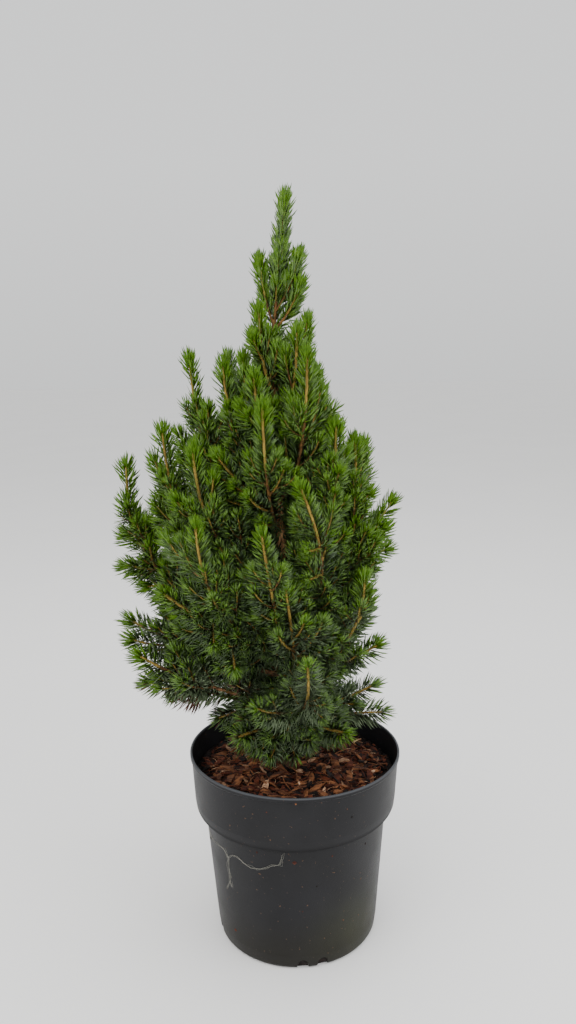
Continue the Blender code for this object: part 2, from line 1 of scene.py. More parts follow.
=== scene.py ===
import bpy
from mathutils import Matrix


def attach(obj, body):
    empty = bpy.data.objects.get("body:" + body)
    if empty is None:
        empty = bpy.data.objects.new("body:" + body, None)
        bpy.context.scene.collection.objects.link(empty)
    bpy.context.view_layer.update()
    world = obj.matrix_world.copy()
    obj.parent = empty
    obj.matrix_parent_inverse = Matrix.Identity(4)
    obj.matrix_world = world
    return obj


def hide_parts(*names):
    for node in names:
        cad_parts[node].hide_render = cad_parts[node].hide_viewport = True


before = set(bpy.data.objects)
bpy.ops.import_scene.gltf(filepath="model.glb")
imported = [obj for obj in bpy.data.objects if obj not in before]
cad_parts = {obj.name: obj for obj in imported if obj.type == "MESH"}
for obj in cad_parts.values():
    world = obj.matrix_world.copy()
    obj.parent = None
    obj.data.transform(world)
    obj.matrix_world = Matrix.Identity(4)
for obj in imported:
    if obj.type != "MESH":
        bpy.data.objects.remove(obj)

"""Looks of a potted dwarf spruce: needles, twigs, bark, bark mulch and a dusty nursery pot.

Tables are in millimetres and degrees, as in the part's source, and become metres in the code.
The front is -Y, and an azimuth turns from the front to the right.
"""

import math
import random
from typing import NamedTuple

import bmesh
import bpy
import numpy as np
from mathutils import Matrix, Vector

MM = 0.001
SEED = 19
CLEAR = 0.3 * MM

# Pot
POT_HEIGHT = 174
POT_RIM_RADIUS = 95
POT_WALL = 1.8
POT_FLOOR = 2.4
POT_SIDES = 168
COLLAR_FOOT = (92, 133)
SHOULDER_FOOT = (83, 120)
SHOULDER_TOP = (COLLAR_FOOT[0] - 1.2, SHOULDER_FOOT[1] + 3.2)
LIP_FOOT = (POT_RIM_RADIUS - 1.3, POT_HEIGHT - 4.6)
BODY_FOOT = (74.4, 13)
FOOT_CORNER = (68, 0)
# The rim is a little out of round: by how much, and where it is narrowest
RIM_SQUEEZE = 1.6
RIM_SQUEEZE_AZIMUTH = 325
DRAIN_PAIRS = 4
DRAIN_AZIMUTH = 10
DRAIN_SPREAD = 7
# A notch along the foot, inwards and upwards: narrower and taller than in the solids, as the photo shows it
DRAIN_SIZE = (10, 16, 9.5)
# Front and back of a notch's dark fill, painted shade: its reach at the foot, its growth with height, and
# its most
DRAIN_SHADE_FILL = ((68.6, 0.75, 72.4), (66.4, 0.42, 71))
DRAIN_FILL = 0.94

# Threads of a web below the collar: azimuth in degrees and height in millimetres along each. Every thread
# is drawn in its place, and again with each of the shifts
WEB = (
    ((-78, 110), (-72, 105), (-67, 101), (-57, 103.5), (-51, 103.5), (-47, 97.6)),
    ((-47, 97.6), (-47.2, 88), (-47.5, 80), (-47.7, 72.5), (-52, 63)),
    ((-47.7, 72.5), (-46.4, 68.6)),
    ((-47, 97.6), (-43, 103), (-39, 104), (-36, 102), (-34, 100), (-29, 98), (-23, 99.5), (-19, 101),
     (-14, 105), (-10, 106.5), (-8, 111.6), (-7, 118)),
)
WEB_SHIFTS = (0.0, 1.0, 1.8, 2.4)
THREAD_RADIUS = 0.07

# Crumbs on the pot: tone, azimuth in degrees, height and size in millimetres
SPECKS = (
    ("red", -1.2, 109, 4.4), ("red", -24, 115, 2.6), ("red", -48, 23, 3.4), ("red", 21.5, 111, 2.0),
    ("red", 3, 60, 1.6), ("red", -15, 160, 1.4), ("dark", -72, 98, 3.6), ("dark", 30, 149, 2.6),
    ("dark", 47, 109, 2.6), ("dark", 12, 84, 1.8), ("brown", 0, 169, 2.2), ("brown", 27, 158, 1.4),
    ("brown", 31, 42, 1.4), ("red", 150, 88, 3.0), ("dark", 205, 140, 2.6), ("red", 118, 36, 2.2),
)

# Mulch
MULCH_EDGE = 152
MULCH_RISE = 3
MULCH_PAD = 14
MULCH_WALL_RADIUS = 90.2
MULCH_GAP = 0.45
MULCH_SIDES = 120
MULCH_WAVES = 9
MULCH_WAVE_HEIGHT = 1.5


class Litter(NamedTuple):
    """One kind of litter: the shape and size of a piece, its finish, the distance between pieces, how far
    out they lie, their smallest and largest scale, how far they tilt and how high they lie."""

    name: str
    shape: str
    size: tuple
    finish: str
    spacing: float
    reach: float
    smallest: float
    largest: float
    tilt: float
    lift: float


LITTER = (
    Litter("crumbs", "crumb", (2.6,), "mulch_dark", 2.2, 88.5, 0.5, 1.6, 60.0, 0.3),
    Litter("bark_chips_dark", "chip", (13, 6.5, 1.0), "mulch_dark", 6.4, 83, 0.5, 1.3, 34.0, 0.9),
    Litter("bark_chips_small", "chip", (8, 3.6, 0.8), "mulch_red", 6.6, 87, 0.5, 1.3, 44.0, 1.3),
    Litter("bark_chips_red", "chip", (15, 5.6, 0.9), "mulch_red", 9.2, 80, 0.6, 1.4, 36.0, 1.7),
    Litter("bark_chips_brown", "chip", (19, 7.2, 1.1), "mulch_brown", 10.8, 79, 0.5, 1.3, 34.0, 2.5),
    Litter("bark_chips_pale", "chip", (15, 5.4, 0.8), "mulch_pale", 20, 81, 0.4, 1.25, 36.0, 2.7),
    Litter("fibres_red", "fibre", (19, 1.0, 2.4), "mulch_red", 6.4, 80, 0.5, 1.2, 24.0, 2.6),
    Litter("fibres_brown", "fibre", (22, 1.1, 3.0), "mulch_brown", 10.5, 78, 0.5, 1.2, 22.0, 3.0),
    Litter("fibres_pale", "fibre", (13, 0.6, 1.9), "mulch_pale", 17, 81, 0.5, 1.2, 26.0, 3.3),
)
# The bare place round the trunk, and how far below the mulch's edge nothing is strewn
LITTER_MIDDLE = 9
LITTER_DROP = 9

# Trunk
TRUNK_SIDES = 8
TRUNK_TIP = 545
TRUNK_FOOT_X = -4
TRUNK_LEAN = -7
TRUNK_SWAY = 1.6
TRUNK_RADII = ((0.0, 9.6), (0.03, 8.0), (0.12, 7.0), (0.5, 5.4), (0.8, 2.9), (1.0, 1.7))

# Boughs, stems and forks, by the same rule as the solids
LIMB_SHARE = 0.4
FORKS = 3
FORK_SHARES = (0.08, 0.5)
FORK_LENGTHS = (44, 26)
FORK_ANGLE = 40
TUFT = 10
FORK_SPACE = 12
GOLDEN_ANGLE = 137.5

# Side shoots: the rule carried on to the finest twigs. Wood is numbered by its level.
TRUNK_WOOD, LIMB_WOOD, STEM, FORK, SIDE_SHOOT, FINE_SHOOT = range(6)


class SideRule(NamedTuple):
    """Side shoots on one level of wood: their spacing, their length at its foot and tip, their angle,
    the tip that has none, and the room that each needs."""

    step: float
    lengths: tuple
    angle: float
    bare: float
    space: float


SIDE_RULES = {
    TRUNK_WOOD: SideRule(4.5, (66, 30), 44, 4, 7.5),
    LIMB_WOOD: SideRule(5, (54, 40), 48, 0, 7),
    STEM: SideRule(6.5, (38, 13), 44, 50, 7),
    FORK: SideRule(7, (26, 12), 44, 24, 7),
    SIDE_SHOOT: SideRule(7.5, (21, 11), 44, 15, 6.5),
}
# How far side shoots lift towards the light at each height, as a share of their length
SIDE_LIFTS = ((170, -0.12), (240, 0.1), (330, 0.25), (480, 0.4), (660, 0.5))
# How far in front of a stem a place is kept free, so that the stem shows
CLEAR_VIEW = 9
# The room that side shoots leave above the rim, how far in from it, and above the mulch further in
RIM_ROOM, RIM_BAND, BED_ROOM = 14, 14, 30
# The heights between which side shoots get shorter towards the tip, and between which they get steeper
SHORTENING, STEEPENING = (450, 560), (380, 560)

# Where the photo shows sky between the sprays, and the trunk through gaps: across and height on the plane
# of the trunk, seen from the camera, and the radius that side shoots keep clear of
SKY = (
    (75, 396, 9), (81, 330, 12), (79, 298, 9), (76, 282, 8), (47, 243, 11), (50, 221, 9),
    (-66, 501, 10), (-124, 436, 11), (-122, 411, 7), (-104, 198, 16), (-131, 208, 12),
    (-13, 627, 9), (-38, 553, 10), (37, 529, 12), (-100, 493, 12), (66, 250, 10),
    (-120, 395, 7), (-131, 401, 6), (-112, 360, 8), (71, 400, 6), (77, 301, 8), (63, 282, 9),
    (44, 239, 9), (-94, 208, 9), (-111, 214, 9), (-78, 203, 9), (26, 518, 5), (29, 502, 5),
    (-31, 543, 5), (-65, 485, 5), (54, 305, 5), (44, 323, 4), (74, 287, 9), (65, 240, 10),
    (-62, 230, 11), (-71, 221, 9), (-54, 221, 9), (-80, 230, 11), (62, 240, 12),
)
TRUNK_GAPS = (
    (-9, 424, 7), (-8, 406, 9), (-8, 390, 9), (-8, 374, 9), (-6, 358, 8), (-8, 480, 7),
    (-7, 460, 8), (-17, 240, 9), (-15, 254, 8), (-9, 500, 7), (-9, 522, 6),
)

# Camera
CAMERA_PLACE = (-0.0015, -0.728, 0.533)
CAMERA_PITCH = 10.9
CAMERA_ROLL = 1.14
CAMERA_LENS = 29.95

# Wood as it is drawn: radii at the foot and the tip, and how far from its tip it is young and then brown
LIMB_RADII = (2.9, 1.6)
TWIG_RADII = {STEM: (1.75, 1.1), FORK: (1.25, 0.8), SIDE_SHOOT: (0.8, 0.5), FINE_SHOOT: (0.5, 0.35)}
YOUNG_WOOD = {STEM: (55, 130), FORK: (24, 80), SIDE_SHOOT: (8, 50), FINE_SHOOT: (5, 40)}
# Finishes of the wood by its age, and the ages at which brown wood and old wood begin
WOOD_FINISHES = {"Young Finish": "bark_young", "Brown Finish": "bark_brown", "Old Finish": "bark_old"}
AGE_STEPS = (0.33, 0.66)
# Wood below a height looks older by a factor, apart from that of two masses
LOW_WOOD, LOW_WOOD_AGE = 300, 2.4
YOUNG_LOW_MASSES = ("skirt_front", "low_left_front")
# Metres between rings, sides, relief as a share of the thickness, and the grain with its stretch
TRUNK_MESH = {"Ring Spacing": 0.0014, "Sides": 40, "Relief": 0.32, "Grain": 520.0, "Stretch": 0.28}
BOUGH_MESH = {"Ring Spacing": 0.0018, "Sides": 14, "Relief": 0.34, "Grain": 640.0, "Stretch": 0.8}
TWIG_MESH = {"Ring Spacing": 0.006, "Sides": 5, "Relief": 0.5, "Grain": 900.0, "Stretch": 0.9}

# Needles: their length and its share on each level of wood, and the pieces that they are dealt to
NEEDLE = 15.5
NEEDLE_SHARES = {STEM: 1.0, FORK: 0.97, SIDE_SHOOT: 0.9, FINE_SHOOT: 0.82}
NEEDLE_MESH = {
    "Spacing": 0.255 * MM, "Width Share": 0.038, "Curl": 0.26, "Belly": 0.5, "Stagger": 0.27,
    "Foot Angle": 60.0, "Tip Angle": 24.0,
}
NEEDLE_TIERS = ("skirt", "low", "lower_middle", "upper_middle", "shoulder", "top")
# The bud: how far from it the needles close up, and how often a brush of needles stands round it
TIP_CLOSING = 5
TUFTS = {STEM: 5, FORK: 3, SIDE_SHOOT: 1, FINE_SHOOT: 0}
# The young end of a shoot: how far it is fuller, how far it is paler, and how much
YOUNG_END = 80
YOUNG_LENGTHS = {STEM: 24, FORK: 18, SIDE_SHOOT: 12, FINE_SHOOT: 9}
YOUNG_STRENGTHS = {STEM: 0.5, FORK: 0.44, SIDE_SHOOT: 0.32, FINE_SHOOT: 0.26}
# The share of the needles that is missing where they would stand in front of the twig
PARTING = {STEM: 0.72, FORK: 0.55, SIDE_SHOOT: 0.35, FINE_SHOOT: 0.1}
# Where a few old side shoots have dried up: from side to side, from front to back, and up to what height
DRY_ACROSS, DRY_DEEP, DRY_TOP = (-100, -38), (-80, 40), 238
# Degrees by which a needle may stand off its angle: on old wood, and how many more at the tip
LOOSE, LOOSER = 9.0, 9.0

# Where each change of the needles begins and where it is whole: first as a share of the crown's reach, then
# in millimetres to the side, the right or the front, in height, and from the tip of a shoot
OUTER_SHARES = (0.35, 1.0)
SIDE_REACHES = (50, 110)
FRONT_REACHES = (20, 110)
LIT_REACHES, LIT_HEIGHTS = (15, 85), (250, 350)
OPEN_REACHES, OPEN_HEIGHTS = (35, 80), (260, 360)
STRONG_HEIGHTS = (200, 420)
TINT_HEIGHTS = (300, 590)
BLOOM_HEIGHTS = (210, 420)
SHORTER_HEIGHTS = (260, 440)
THINNER_HEIGHTS = (240, 340)
DROOP_HEIGHTS, DROOP_ENDS = (190, 380), (4, 25)
PARTING_HEIGHTS, PARTING_ENDS = (575, 600), (8, 24)
UPRIGHT_HEIGHTS, SPREADING_HEIGHTS = (400, 600), (210, 380)

# Finishes that the needles are dealt: dark and light tone, shine and roughness. The steps are the values of
# tint and then of bloom from which each of the middle ones is picked
# Low tint, which is partly painted shade inside the crown, picks the darker finishes
NEEDLE_FINISHES = {
    "Deep Finish": ("needles_deep", (40, 58, 28), (62, 84, 42), 0.6, 0.42),
    "Mid Finish": ("needles_mid", (61, 87, 33), (86, 114, 48), 0.55, 0.42),
    "Fresh Finish": ("needles_fresh", (72, 106, 25), (100, 135, 42), 0.45, 0.42),
    "Tip Finish": ("needles_tip", (62, 99, 4), (86, 123, 14), 0.22, 0.42),
    "Bloom Finish": ("needles_bloom", (60, 77, 48), (82, 100, 65), 0.5, 0.5),
    "Pale Bloom Finish": ("needles_pale_bloom", (90, 106, 74), (118, 134, 100), 0.5, 0.5),
    "Dry Finish": ("needles_dry", (66, 38, 28), (104, 66, 44), 0.4, 0.8),
}
TINT_STEPS = (0.28, 0.5, 0.74)
BLOOM_STEPS = (0.45, 0.7)


class Bark(NamedTuple):
    """A finish of wood or bark: its dark and light tone, its grain and how it is drawn out, the depth of
    its relief in metres, and the tone at its foot if that differs."""

    dark: tuple
    light: tuple
    grain: float = 420.0
    squash: tuple = (1.0, 1.0, 0.22)
    depth: float = 0.0005
    foot: tuple = ()


BARKS = {
    # Painted light: the trunk's bark is far lighter than its own tone, where the crown shades it; its foot
    # is left darker
    "bark_trunk": Bark((130, 92, 60), (214, 168, 120), foot=(60, 40, 27)),
    "bark_old": Bark((84, 56, 38), (156, 116, 78)),
    "bark_brown": Bark((70, 46, 23), (124, 90, 45), depth=0.0003),
    "bark_young": Bark((110, 89, 36), (152, 128, 58), depth=0.0002),
    "mulch_dark": Bark((7, 3, 2), (27, 13, 8), 260.0, (0.4, 1.0, 1.0)),
    "mulch_red": Bark((46, 17, 8), (94, 44, 22), 260.0, (0.3, 1.0, 1.0)),
    "mulch_brown": Bark((64, 34, 18), (136, 86, 52), 240.0, (0.3, 1.0, 1.0)),
    "mulch_pale": Bark((122, 88, 64), (198, 160, 128), 240.0, (0.3, 1.0, 1.0)),
}


class Bough(NamedTuple):
    """A bough and the mass of shoots at its end: the height of its root on the trunk, its tip, how far its
    line bows out and swings aside, and whether it starts with a bare limb. Each of its forks is given by
    the share of the stem where it leaves, and by the azimuth, reach and height of its tip."""

    name: str
    azimuth: float
    root: float
    reach: float
    tip: float
    bow: float = 1.0
    swing: float = 0.0
    limb: bool = False
    forks: tuple = ()


BOUGHS = (
    Bough("leader", 90, TRUNK_TIP, 2, 661, 0.0, 0, False,
          ((0.06, 272, 22, 612), (0.16, 68, 14, 615), (0.02, 61, 17, 592))),
    Bough("upper_left", 315, 496, 31, 572),
    Bough("upper_right", 16, 463, 31, 555, forks=((0.55, 62, 21, 563),)),
    Bough("right_spire", 20, 402, 47, 537, forks=((0.45, 44, 41, 507),)),
    Bough("front_left_spire", 330, 448, 53, 521),
    Bough("left_shoulder", 286, 424, 55, 529, forks=((0.4, 250, 54, 534), (0.3, 288, 38, 534))),
    Bough("front_spire", 343, 376, 68, 498),
    Bough("left_spire", 263, 350, 84, 533, 0.85, 6, True, ((0.12, 272, 96, 471), (0.04, 273, 96, 449))),
    Bough("left_outer", 272, 312, 107, 474, 1.0, 0, True,
          ((0.42, 268, 118, 449), (0.26, 268, 116, 416), (0.1, 269, 118, 401))),
    Bough("left_front_upper", 301, 330, 90, 462, limb=True),
    Bough("left_front_lower", 319, 276, 112, 409, 1.0, 0, True, ((0.55, 293, 115, 389),)),
    Bough("inner_left", 309, 392, 79, 456, 0.3),
    Bough("far_left", 262, 286, 144, 443, 1.25, 0, True,
          ((0.6, 265, 147, 412), (0.42, 267, 126, 392), (0.46, 264, 154, 377), (0.3, 270, 124, 373),
           (0.26, 266, 157, 346), (0.08, 267, 112, 356), (0.12, 268, 138, 326), (0.02, 267, 127, 316))),
    Bough("low_left_front", 303, 262, 130, 347, 0.2, 0, True, ((0.3, 322, 102, 294), (0.05, 332, 98, 274))),
    Bough("low_left", 271, 240, 150, 303, 0.3, 0, True, ((0.4, 281, 148, 293),)),
    Bough("low_left_rear", 287, 214, 143, 284, 0.3, 0, True),
    Bough("skirt_left", 280, 202, 138, 249, -0.3, 0, True),
    Bough("front_centre", 347, 256, 103, 404, 0.6, 6, True,
          ((0.3, 358, 88, 354), (0.12, 335, 77, 330), (0.5, 336, 83, 370))),
    Bough("front_right", 3, 292, 86, 437, 0.8, 38, True,
          ((0.4, 6, 94, 381), (0.12, 7, 89, 356), (0.25, 27, 68, 394))),
    Bough("front_low", 356, 228, 88, 358, 0.7, 10, True),
    Bough("skirt_front", 5, 208, 116, 303, 0.6, 6, forks=((0.3, 339, 98, 256),)),
    Bough("right_shoulder", 44, 338, 56, 480, limb=True),
    Bough("right_outer", 77, 290, 57, 464, 1.3, 0, True,
          ((0.58, 95, 66, 459), (0.48, 82, 73, 417), (0.2, 94, 94, 407), (0.08, 82, 87, 386),
           (0.02, 92, 92, 362))),
    Bough("right_front", 53, 248, 77, 354, 1.0, 0, True,
          ((0.05, 48, 52, 305), (0.45, 62, 77, 335), (0.12, 34, 72, 300))),
    Bough("right_low", 76, 240, 84, 282, 0.3,
          forks=((0.55, 59, 69, 280), (0.35, 61, 53, 259), (0.2, 68, 39, 267))),
    Bough("skirt_right", 97, 200, 82, 232, 0.2,
          forks=((0.1, 85, 90, 210), (0.3, 114, 62, 225), (0.5, 75, 63, 222))),
    Bough("skirt_front_right", 38, 198, 80, 214, 0.0),
    Bough("skirt_front_left", 322, 200, 86, 214, 0.0),
    Bough("skirt_foot", 342, 192, 72, 213, 0.0, forks=((0.1, 14, 72, 214),)),
    Bough("rear_spire", 150, 412, 52, 520),
    Bough("rear_left_spire", 212, 384, 70, 492),
    Bough("rear_right", 118, 324, 74, 446),
    Bough("rear_upper", 178, 342, 82, 452, limb=True),
    Bough("rear_left", 232, 268, 116, 396, 1.0, 0, True),
    Bough("rear_middle", 165, 252, 106, 372, 0.8, 0, True),
    Bough("rear_low_left", 214, 222, 122, 300, 0.4),
    Bough("rear_low_right", 132, 218, 104, 290, 0.4),
    Bough("skirt_rear", 176, 196, 104, 228, 0.2),
)


# Lines of the crown, as the solids have them

def smooth_step(value, low, high):
    share = np.clip((value - low) / (high - low), 0, 1)
    return share * share * (3 - 2 * share)


def around(azimuth, reach, height):
    """The point at an azimuth in degrees, with its reach and height in metres."""
    turn = math.radians(azimuth)
    return Vector((reach * math.sin(turn), -reach * math.cos(turn), height))


def mulch_height(radius):
    """Height of the mulch at a radius, in millimetres."""
    edge = POT_RIM_RADIUS - POT_WALL
    share = min(1.0, max(0.0, (radius - MULCH_PAD) / (edge - MULCH_PAD)))
    return MULCH_EDGE + MULCH_RISE * (1 - share * share * (3 - 2 * share))


def trunk_share(height):
    foot = mulch_height(0)
    return (height - foot) / (TRUNK_TIP - foot)


def trunk_centre(height):
    """The middle of the trunk at a height in millimetres."""
    share = trunk_share(height)
    across_x = TRUNK_FOOT_X + TRUNK_LEAN * share + TRUNK_SWAY * math.sin(2 * math.pi * share)
    deep = TRUNK_SWAY * math.sin(1.5 * math.pi * share)
    return Vector((across_x, deep, height)) * MM


def trunk_radius(height):
    shares, radii = zip(*TRUNK_RADII)
    return float(np.interp(trunk_share(height), shares, radii)) * MM


def across(along, last=None):
    """A direction square to a line, as near as it can be to the last one there."""
    side = last or along.orthogonal()
    return (side - along * side.dot(along)).normalized()


def bend(root, middle, tip, steps=40):
    """Points along the smooth curve from root to tip that leans towards middle."""
    shares = [k / steps for k in range(steps + 1)]
    return [root * (1 - t) ** 2 + middle * (2 * t * (1 - t)) + tip * t * t for t in shares]


def line_length(line):
    return sum((b - a).length for a, b in zip(line, line[1:]))


def along_line(line, distance):
    """The point and direction at a distance along a line."""
    for a, b in zip(line, line[1:]):
        step = (b - a).length
        if distance <= step:
            return a + (b - a) * (distance / step), (b - a).normalized()
        distance -= step
    return line[-1].copy(), (line[-1] - line[-2]).normalized()


def line_between(line, start, end):
    """The same line from one distance to another."""
    steps = 24
    return [along_line(line, start + (end - start) * k / steps)[0] for k in range(steps + 1)]


def bough_line(bough):
    """The line of a bough from the side of the trunk to its tip."""
    root = trunk_centre(bough.root)
    tip = around(bough.azimuth, bough.reach * MM, bough.tip * MM)
    reach = tip - root
    reach.z = 0
    middle = root + reach * (0.5 + 0.5 * bough.bow)
    middle.z = root.z + (tip.z - root.z) * (0.5 - 0.3 * bough.bow)
    turn = math.radians(bough.swing)
    offset = middle - root
    middle.x = root.x + offset.x * math.cos(turn) - offset.y * math.sin(turn)
    middle.y = root.y + offset.x * math.sin(turn) + offset.y * math.cos(turn)
    line = bend(root, middle, tip)
    whole = line_length(line) - TUFT * MM
    if bough.name == "leader":
        return line_between(line, CLEAR, whole)
    start = trunk_radius(bough.root) / math.cos(math.pi / TRUNK_SIDES) + CLEAR
    outwards = along_line(line, start)[0] - root
    while Vector((outwards.x, outwards.y, 0)).length < trunk_radius(bough.root) + CLEAR:
        start += 0.2 * MM
        outwards = along_line(line, start)[0] - trunk_centre(along_line(line, start)[0].z / MM)
    return line_between(line, start, whole)


def split_line(bough, line):
    """The bare limb's line, where there is one, and the line of the mass's stem after it."""
    if not bough.limb:
        return None, line
    whole = line_length(line)
    cut = whole * LIMB_SHARE
    return line_between(line, 0, cut), line_between(line, cut + CLEAR, whole)


class Shoot(NamedTuple):
    """One shoot: its mass, its line and its level."""

    mass: str
    line: list
    level: int


def samples(line, count=12):
    whole = line_length(line)
    return np.array([along_line(line, whole * k / count)[0] for k in range(count + 1)])


def has_room(line, others, space):
    """Whether the outer half of a line keeps its distance from the points of other lines."""
    outer = samples(line)[6:]
    gaps = np.linalg.norm(outer[:, None, :] - others[None, :, :], axis=2)
    return float(gaps.min()) > space


def fork_to(stem, share, tip):
    """The line of a fork that leaves a stem at a share of its length for a tip of its own."""
    bow = 0.7
    root, _ = along_line(stem, line_length(stem) * share)
    middle = root.lerp(tip, 0.5 + 0.25 * bow)
    middle.z = root.z + (tip.z - root.z) * (0.5 - 0.25 * bow)
    line = bend(root, middle, tip)
    return line_between(line, 0, line_length(line) - TUFT * MM)


def fork_by_rule(stem, share, turn, length, angle=FORK_ANGLE, lift=0.2):
    """The line of a fork that stands off its stem at the common angle and lifts towards the light."""
    root, along = along_line(stem, line_length(stem) * share)
    side = across(along)
    off = side * math.cos(turn) + along.cross(side).normalized() * math.sin(turn)
    leave = along * math.cos(math.radians(angle)) + off * math.sin(math.radians(angle))
    middle = root + leave * length * 0.55
    rise = Vector((0, 0, lift * length))
    return bend(root, middle, root + leave * length * 0.85 + along * length * 0.15 + rise, 16)


def above_pot(line):
    """Whether a line clears the mulch and the rim."""
    lowest = min(p.z for p in line)
    return lowest > (POT_HEIGHT + 5) * MM


def rule_forks(stem, count, others, chance):
    """The forks that a stem gets by rule: each a golden turn on from the last, shorter towards the tip."""
    turn = chance.uniform(0, 360)
    size = min(1.0, line_length(stem.line) / (90 * MM))
    made = []
    for k in range(count):
        step = (k + 0.5) / count
        share = FORK_SHARES[0] + (FORK_SHARES[1] - FORK_SHARES[0]) * step
        length = FORK_LENGTHS[0] + (FORK_LENGTHS[1] - FORK_LENGTHS[0]) * step
        length *= chance.uniform(0.85, 1.1) * size
        for attempt in range(8):
            angle = math.radians(turn + GOLDEN_ANGLE * k + 45 * attempt)
            line = fork_by_rule(stem.line, share, angle, length * MM)
            near = np.concatenate(others + [samples(fork.line) for fork in made])
            if above_pot(line) and has_room(line, near, FORK_SPACE * MM):
                made.append(Shoot(stem.mass, line, FORK))
                break
    return made


def grow():
    """Every stem and fork of the crown in order, and the lines of the limbs."""
    chance = random.Random(SEED)
    limbs = {}
    shoots = []
    for bough in BOUGHS:
        limb, stem = split_line(bough, bough_line(bough))
        if limb:
            limbs[bough.name] = limb
        shoots.append(Shoot(bough.name, stem, STEM))
        for share, *tip in bough.forks:
            azimuth, reach, height = tip
            line = fork_to(stem, share, around(azimuth, reach * MM, height * MM))
            shoots.append(Shoot(bough.name, line, FORK))
    heights = np.linspace(mulch_height(0), TRUNK_TIP, 60)
    wood = [samples(limb) for limb in limbs.values()] + [np.array([trunk_centre(h) for h in heights])]
    for stem in [shoot for shoot in shoots if shoot.level == STEM]:
        count = FORKS + 1 - sum(shoot.mass == stem.mass for shoot in shoots)
        others = wood + [samples(shoot.line) for shoot in shoots if shoot is not stem]
        shoots += rule_forks(stem, max(0, count), others, chance)
    return shoots, limbs


# Finer twigs than the solids have

class Outline:
    """How far the solids' shoots reach in each direction, which the finer twigs keep to."""

    def __init__(self, shoots):
        points = np.concatenate([samples(shoot.line, 24) for shoot in shoots])
        self.heights = points[:, 2]
        self.radii = np.hypot(points[:, 0], points[:, 1])
        self.azimuths = np.arctan2(points[:, 0], -points[:, 1])

    def reach(self, points):
        """The crown's reach in the direction of each point."""
        azimuths = np.arctan2(points[:, 0], -points[:, 1])
        turns = np.abs(azimuths[:, None] - self.azimuths[None, :])
        turns = np.minimum(turns, 2 * math.pi - turns)
        rises = np.abs(points[:, 2][:, None] - self.heights[None, :])
        near = (turns < 0.3) & (rises < 22 * MM)
        return np.maximum(np.where(near, self.radii[None, :], 0).max(axis=1), 20 * MM)

    def shares(self, points):
        """How far out each point lies, from 0 at the axis to 1 at the crown's edge."""
        return np.hypot(points[:, 0], points[:, 1]) / self.reach(points)

    def holds(self, line):
        """Whether a side shoot ends inside the crown, clear of the pot and of where sky shows."""
        tip = np.array([line[-1]])
        if np.hypot(tip[0, 0], tip[0, 1]) > self.reach(tip)[0] + 4 * MM:
            return False
        if any(in_sky(point) for point in line[6::2]):
            return False
        for point in line[4:]:
            radius = math.hypot(point.x, point.y) / MM
            over_rim = radius > POT_RIM_RADIUS - RIM_BAND
            floor = POT_HEIGHT + RIM_ROOM if over_rim else mulch_height(radius) + BED_ROOM
            if point.z < floor * MM:
                return False
        return True


def in_sky(point):
    """Whether a point hides a place where the photo shows sky, or the trunk through a gap in the crown."""
    share = CAMERA_PLACE[1] / (CAMERA_PLACE[1] - point.y)
    x = (CAMERA_PLACE[0] + (point.x - CAMERA_PLACE[0]) * share) / MM
    z = (CAMERA_PLACE[2] + (point.z - CAMERA_PLACE[2]) * share) / MM
    open_places = SKY + TRUNK_GAPS if point.y < -8 * MM else SKY
    return any(math.hypot(x - across_x, z - height) < radius for across_x, height, radius in open_places)


class Room:
    """The places that wood already takes, in cells, so that a new shoot can keep its distance."""

    def __init__(self, cell):
        self.cell = cell
        self.taken = {}

    def key(self, point):
        return tuple(int(math.floor(value / self.cell)) for value in point)

    def add(self, line, owner):
        steps = max(4, int(line_length(line) / (4 * MM)))
        for point in samples(line, steps):
            self.taken.setdefault(self.key(point), []).append((*point, owner))

    def free(self, line, owner, space):
        """Whether the outer half of a line keeps its distance from the wood of other owners."""
        for x, y, z in samples(line, 10)[5:]:
            i, j, k = self.key((x, y, z))
            for cell in ((i + a, j + b, k + c) for a in (-1, 0, 1) for b in (-1, 0, 1) for c in (-1, 0, 1)):
                for u, v, w, other in self.taken.get(cell, ()):
                    if other != owner and (u - x) ** 2 + (v - y) ** 2 + (w - z) ** 2 < space * space:
                        return False
        return True


def side_shoots_on(parent, owner, room, outline, chance):
    """Side shoots along one piece of wood, each a golden turn on from the last, shorter towards its tip."""
    rule = SIDE_RULES[parent.level]
    whole = line_length(parent.line) / MM
    covered = whole - min(rule.bare, 0.45 * whole)
    turn = chance.uniform(0, 2 * math.pi)
    made = []
    for k in range(int(covered / rule.step)):
        share = (k + chance.uniform(0.25, 0.75)) * rule.step / whole
        height = along_line(parent.line, share * whole * MM)[0].z / MM
        length = rule.lengths[0] + (rule.lengths[1] - rule.lengths[0]) * share
        length *= chance.uniform(0.75, 1.15) * (1 - 0.5 * smooth_step(height, *SHORTENING))
        angle = rule.angle - 12 * smooth_step(height, *STEEPENING)
        lift = np.interp(height, *zip(*SIDE_LIFTS))
        for attempt in range(6):
            around_parent = turn + math.radians(GOLDEN_ANGLE) * k + 1.05 * attempt
            line = fork_by_rule(parent.line, share, around_parent, length * MM, angle, lift)
            if outline.holds(line) and room.free(line, owner, rule.space * MM):
                made.append(Shoot(parent.mass, line, max(parent.level, FORK) + 1))
                break
            length *= 0.94
    return made


def in_front_of(line):
    """Most of a stem's line moved a little out of the crown, a place kept free so that the stem shows."""
    most = line[len(line) // 3:]
    return [point + Vector((point.x, point.y, 0)).normalized() * CLEAR_VIEW * MM for point in most]


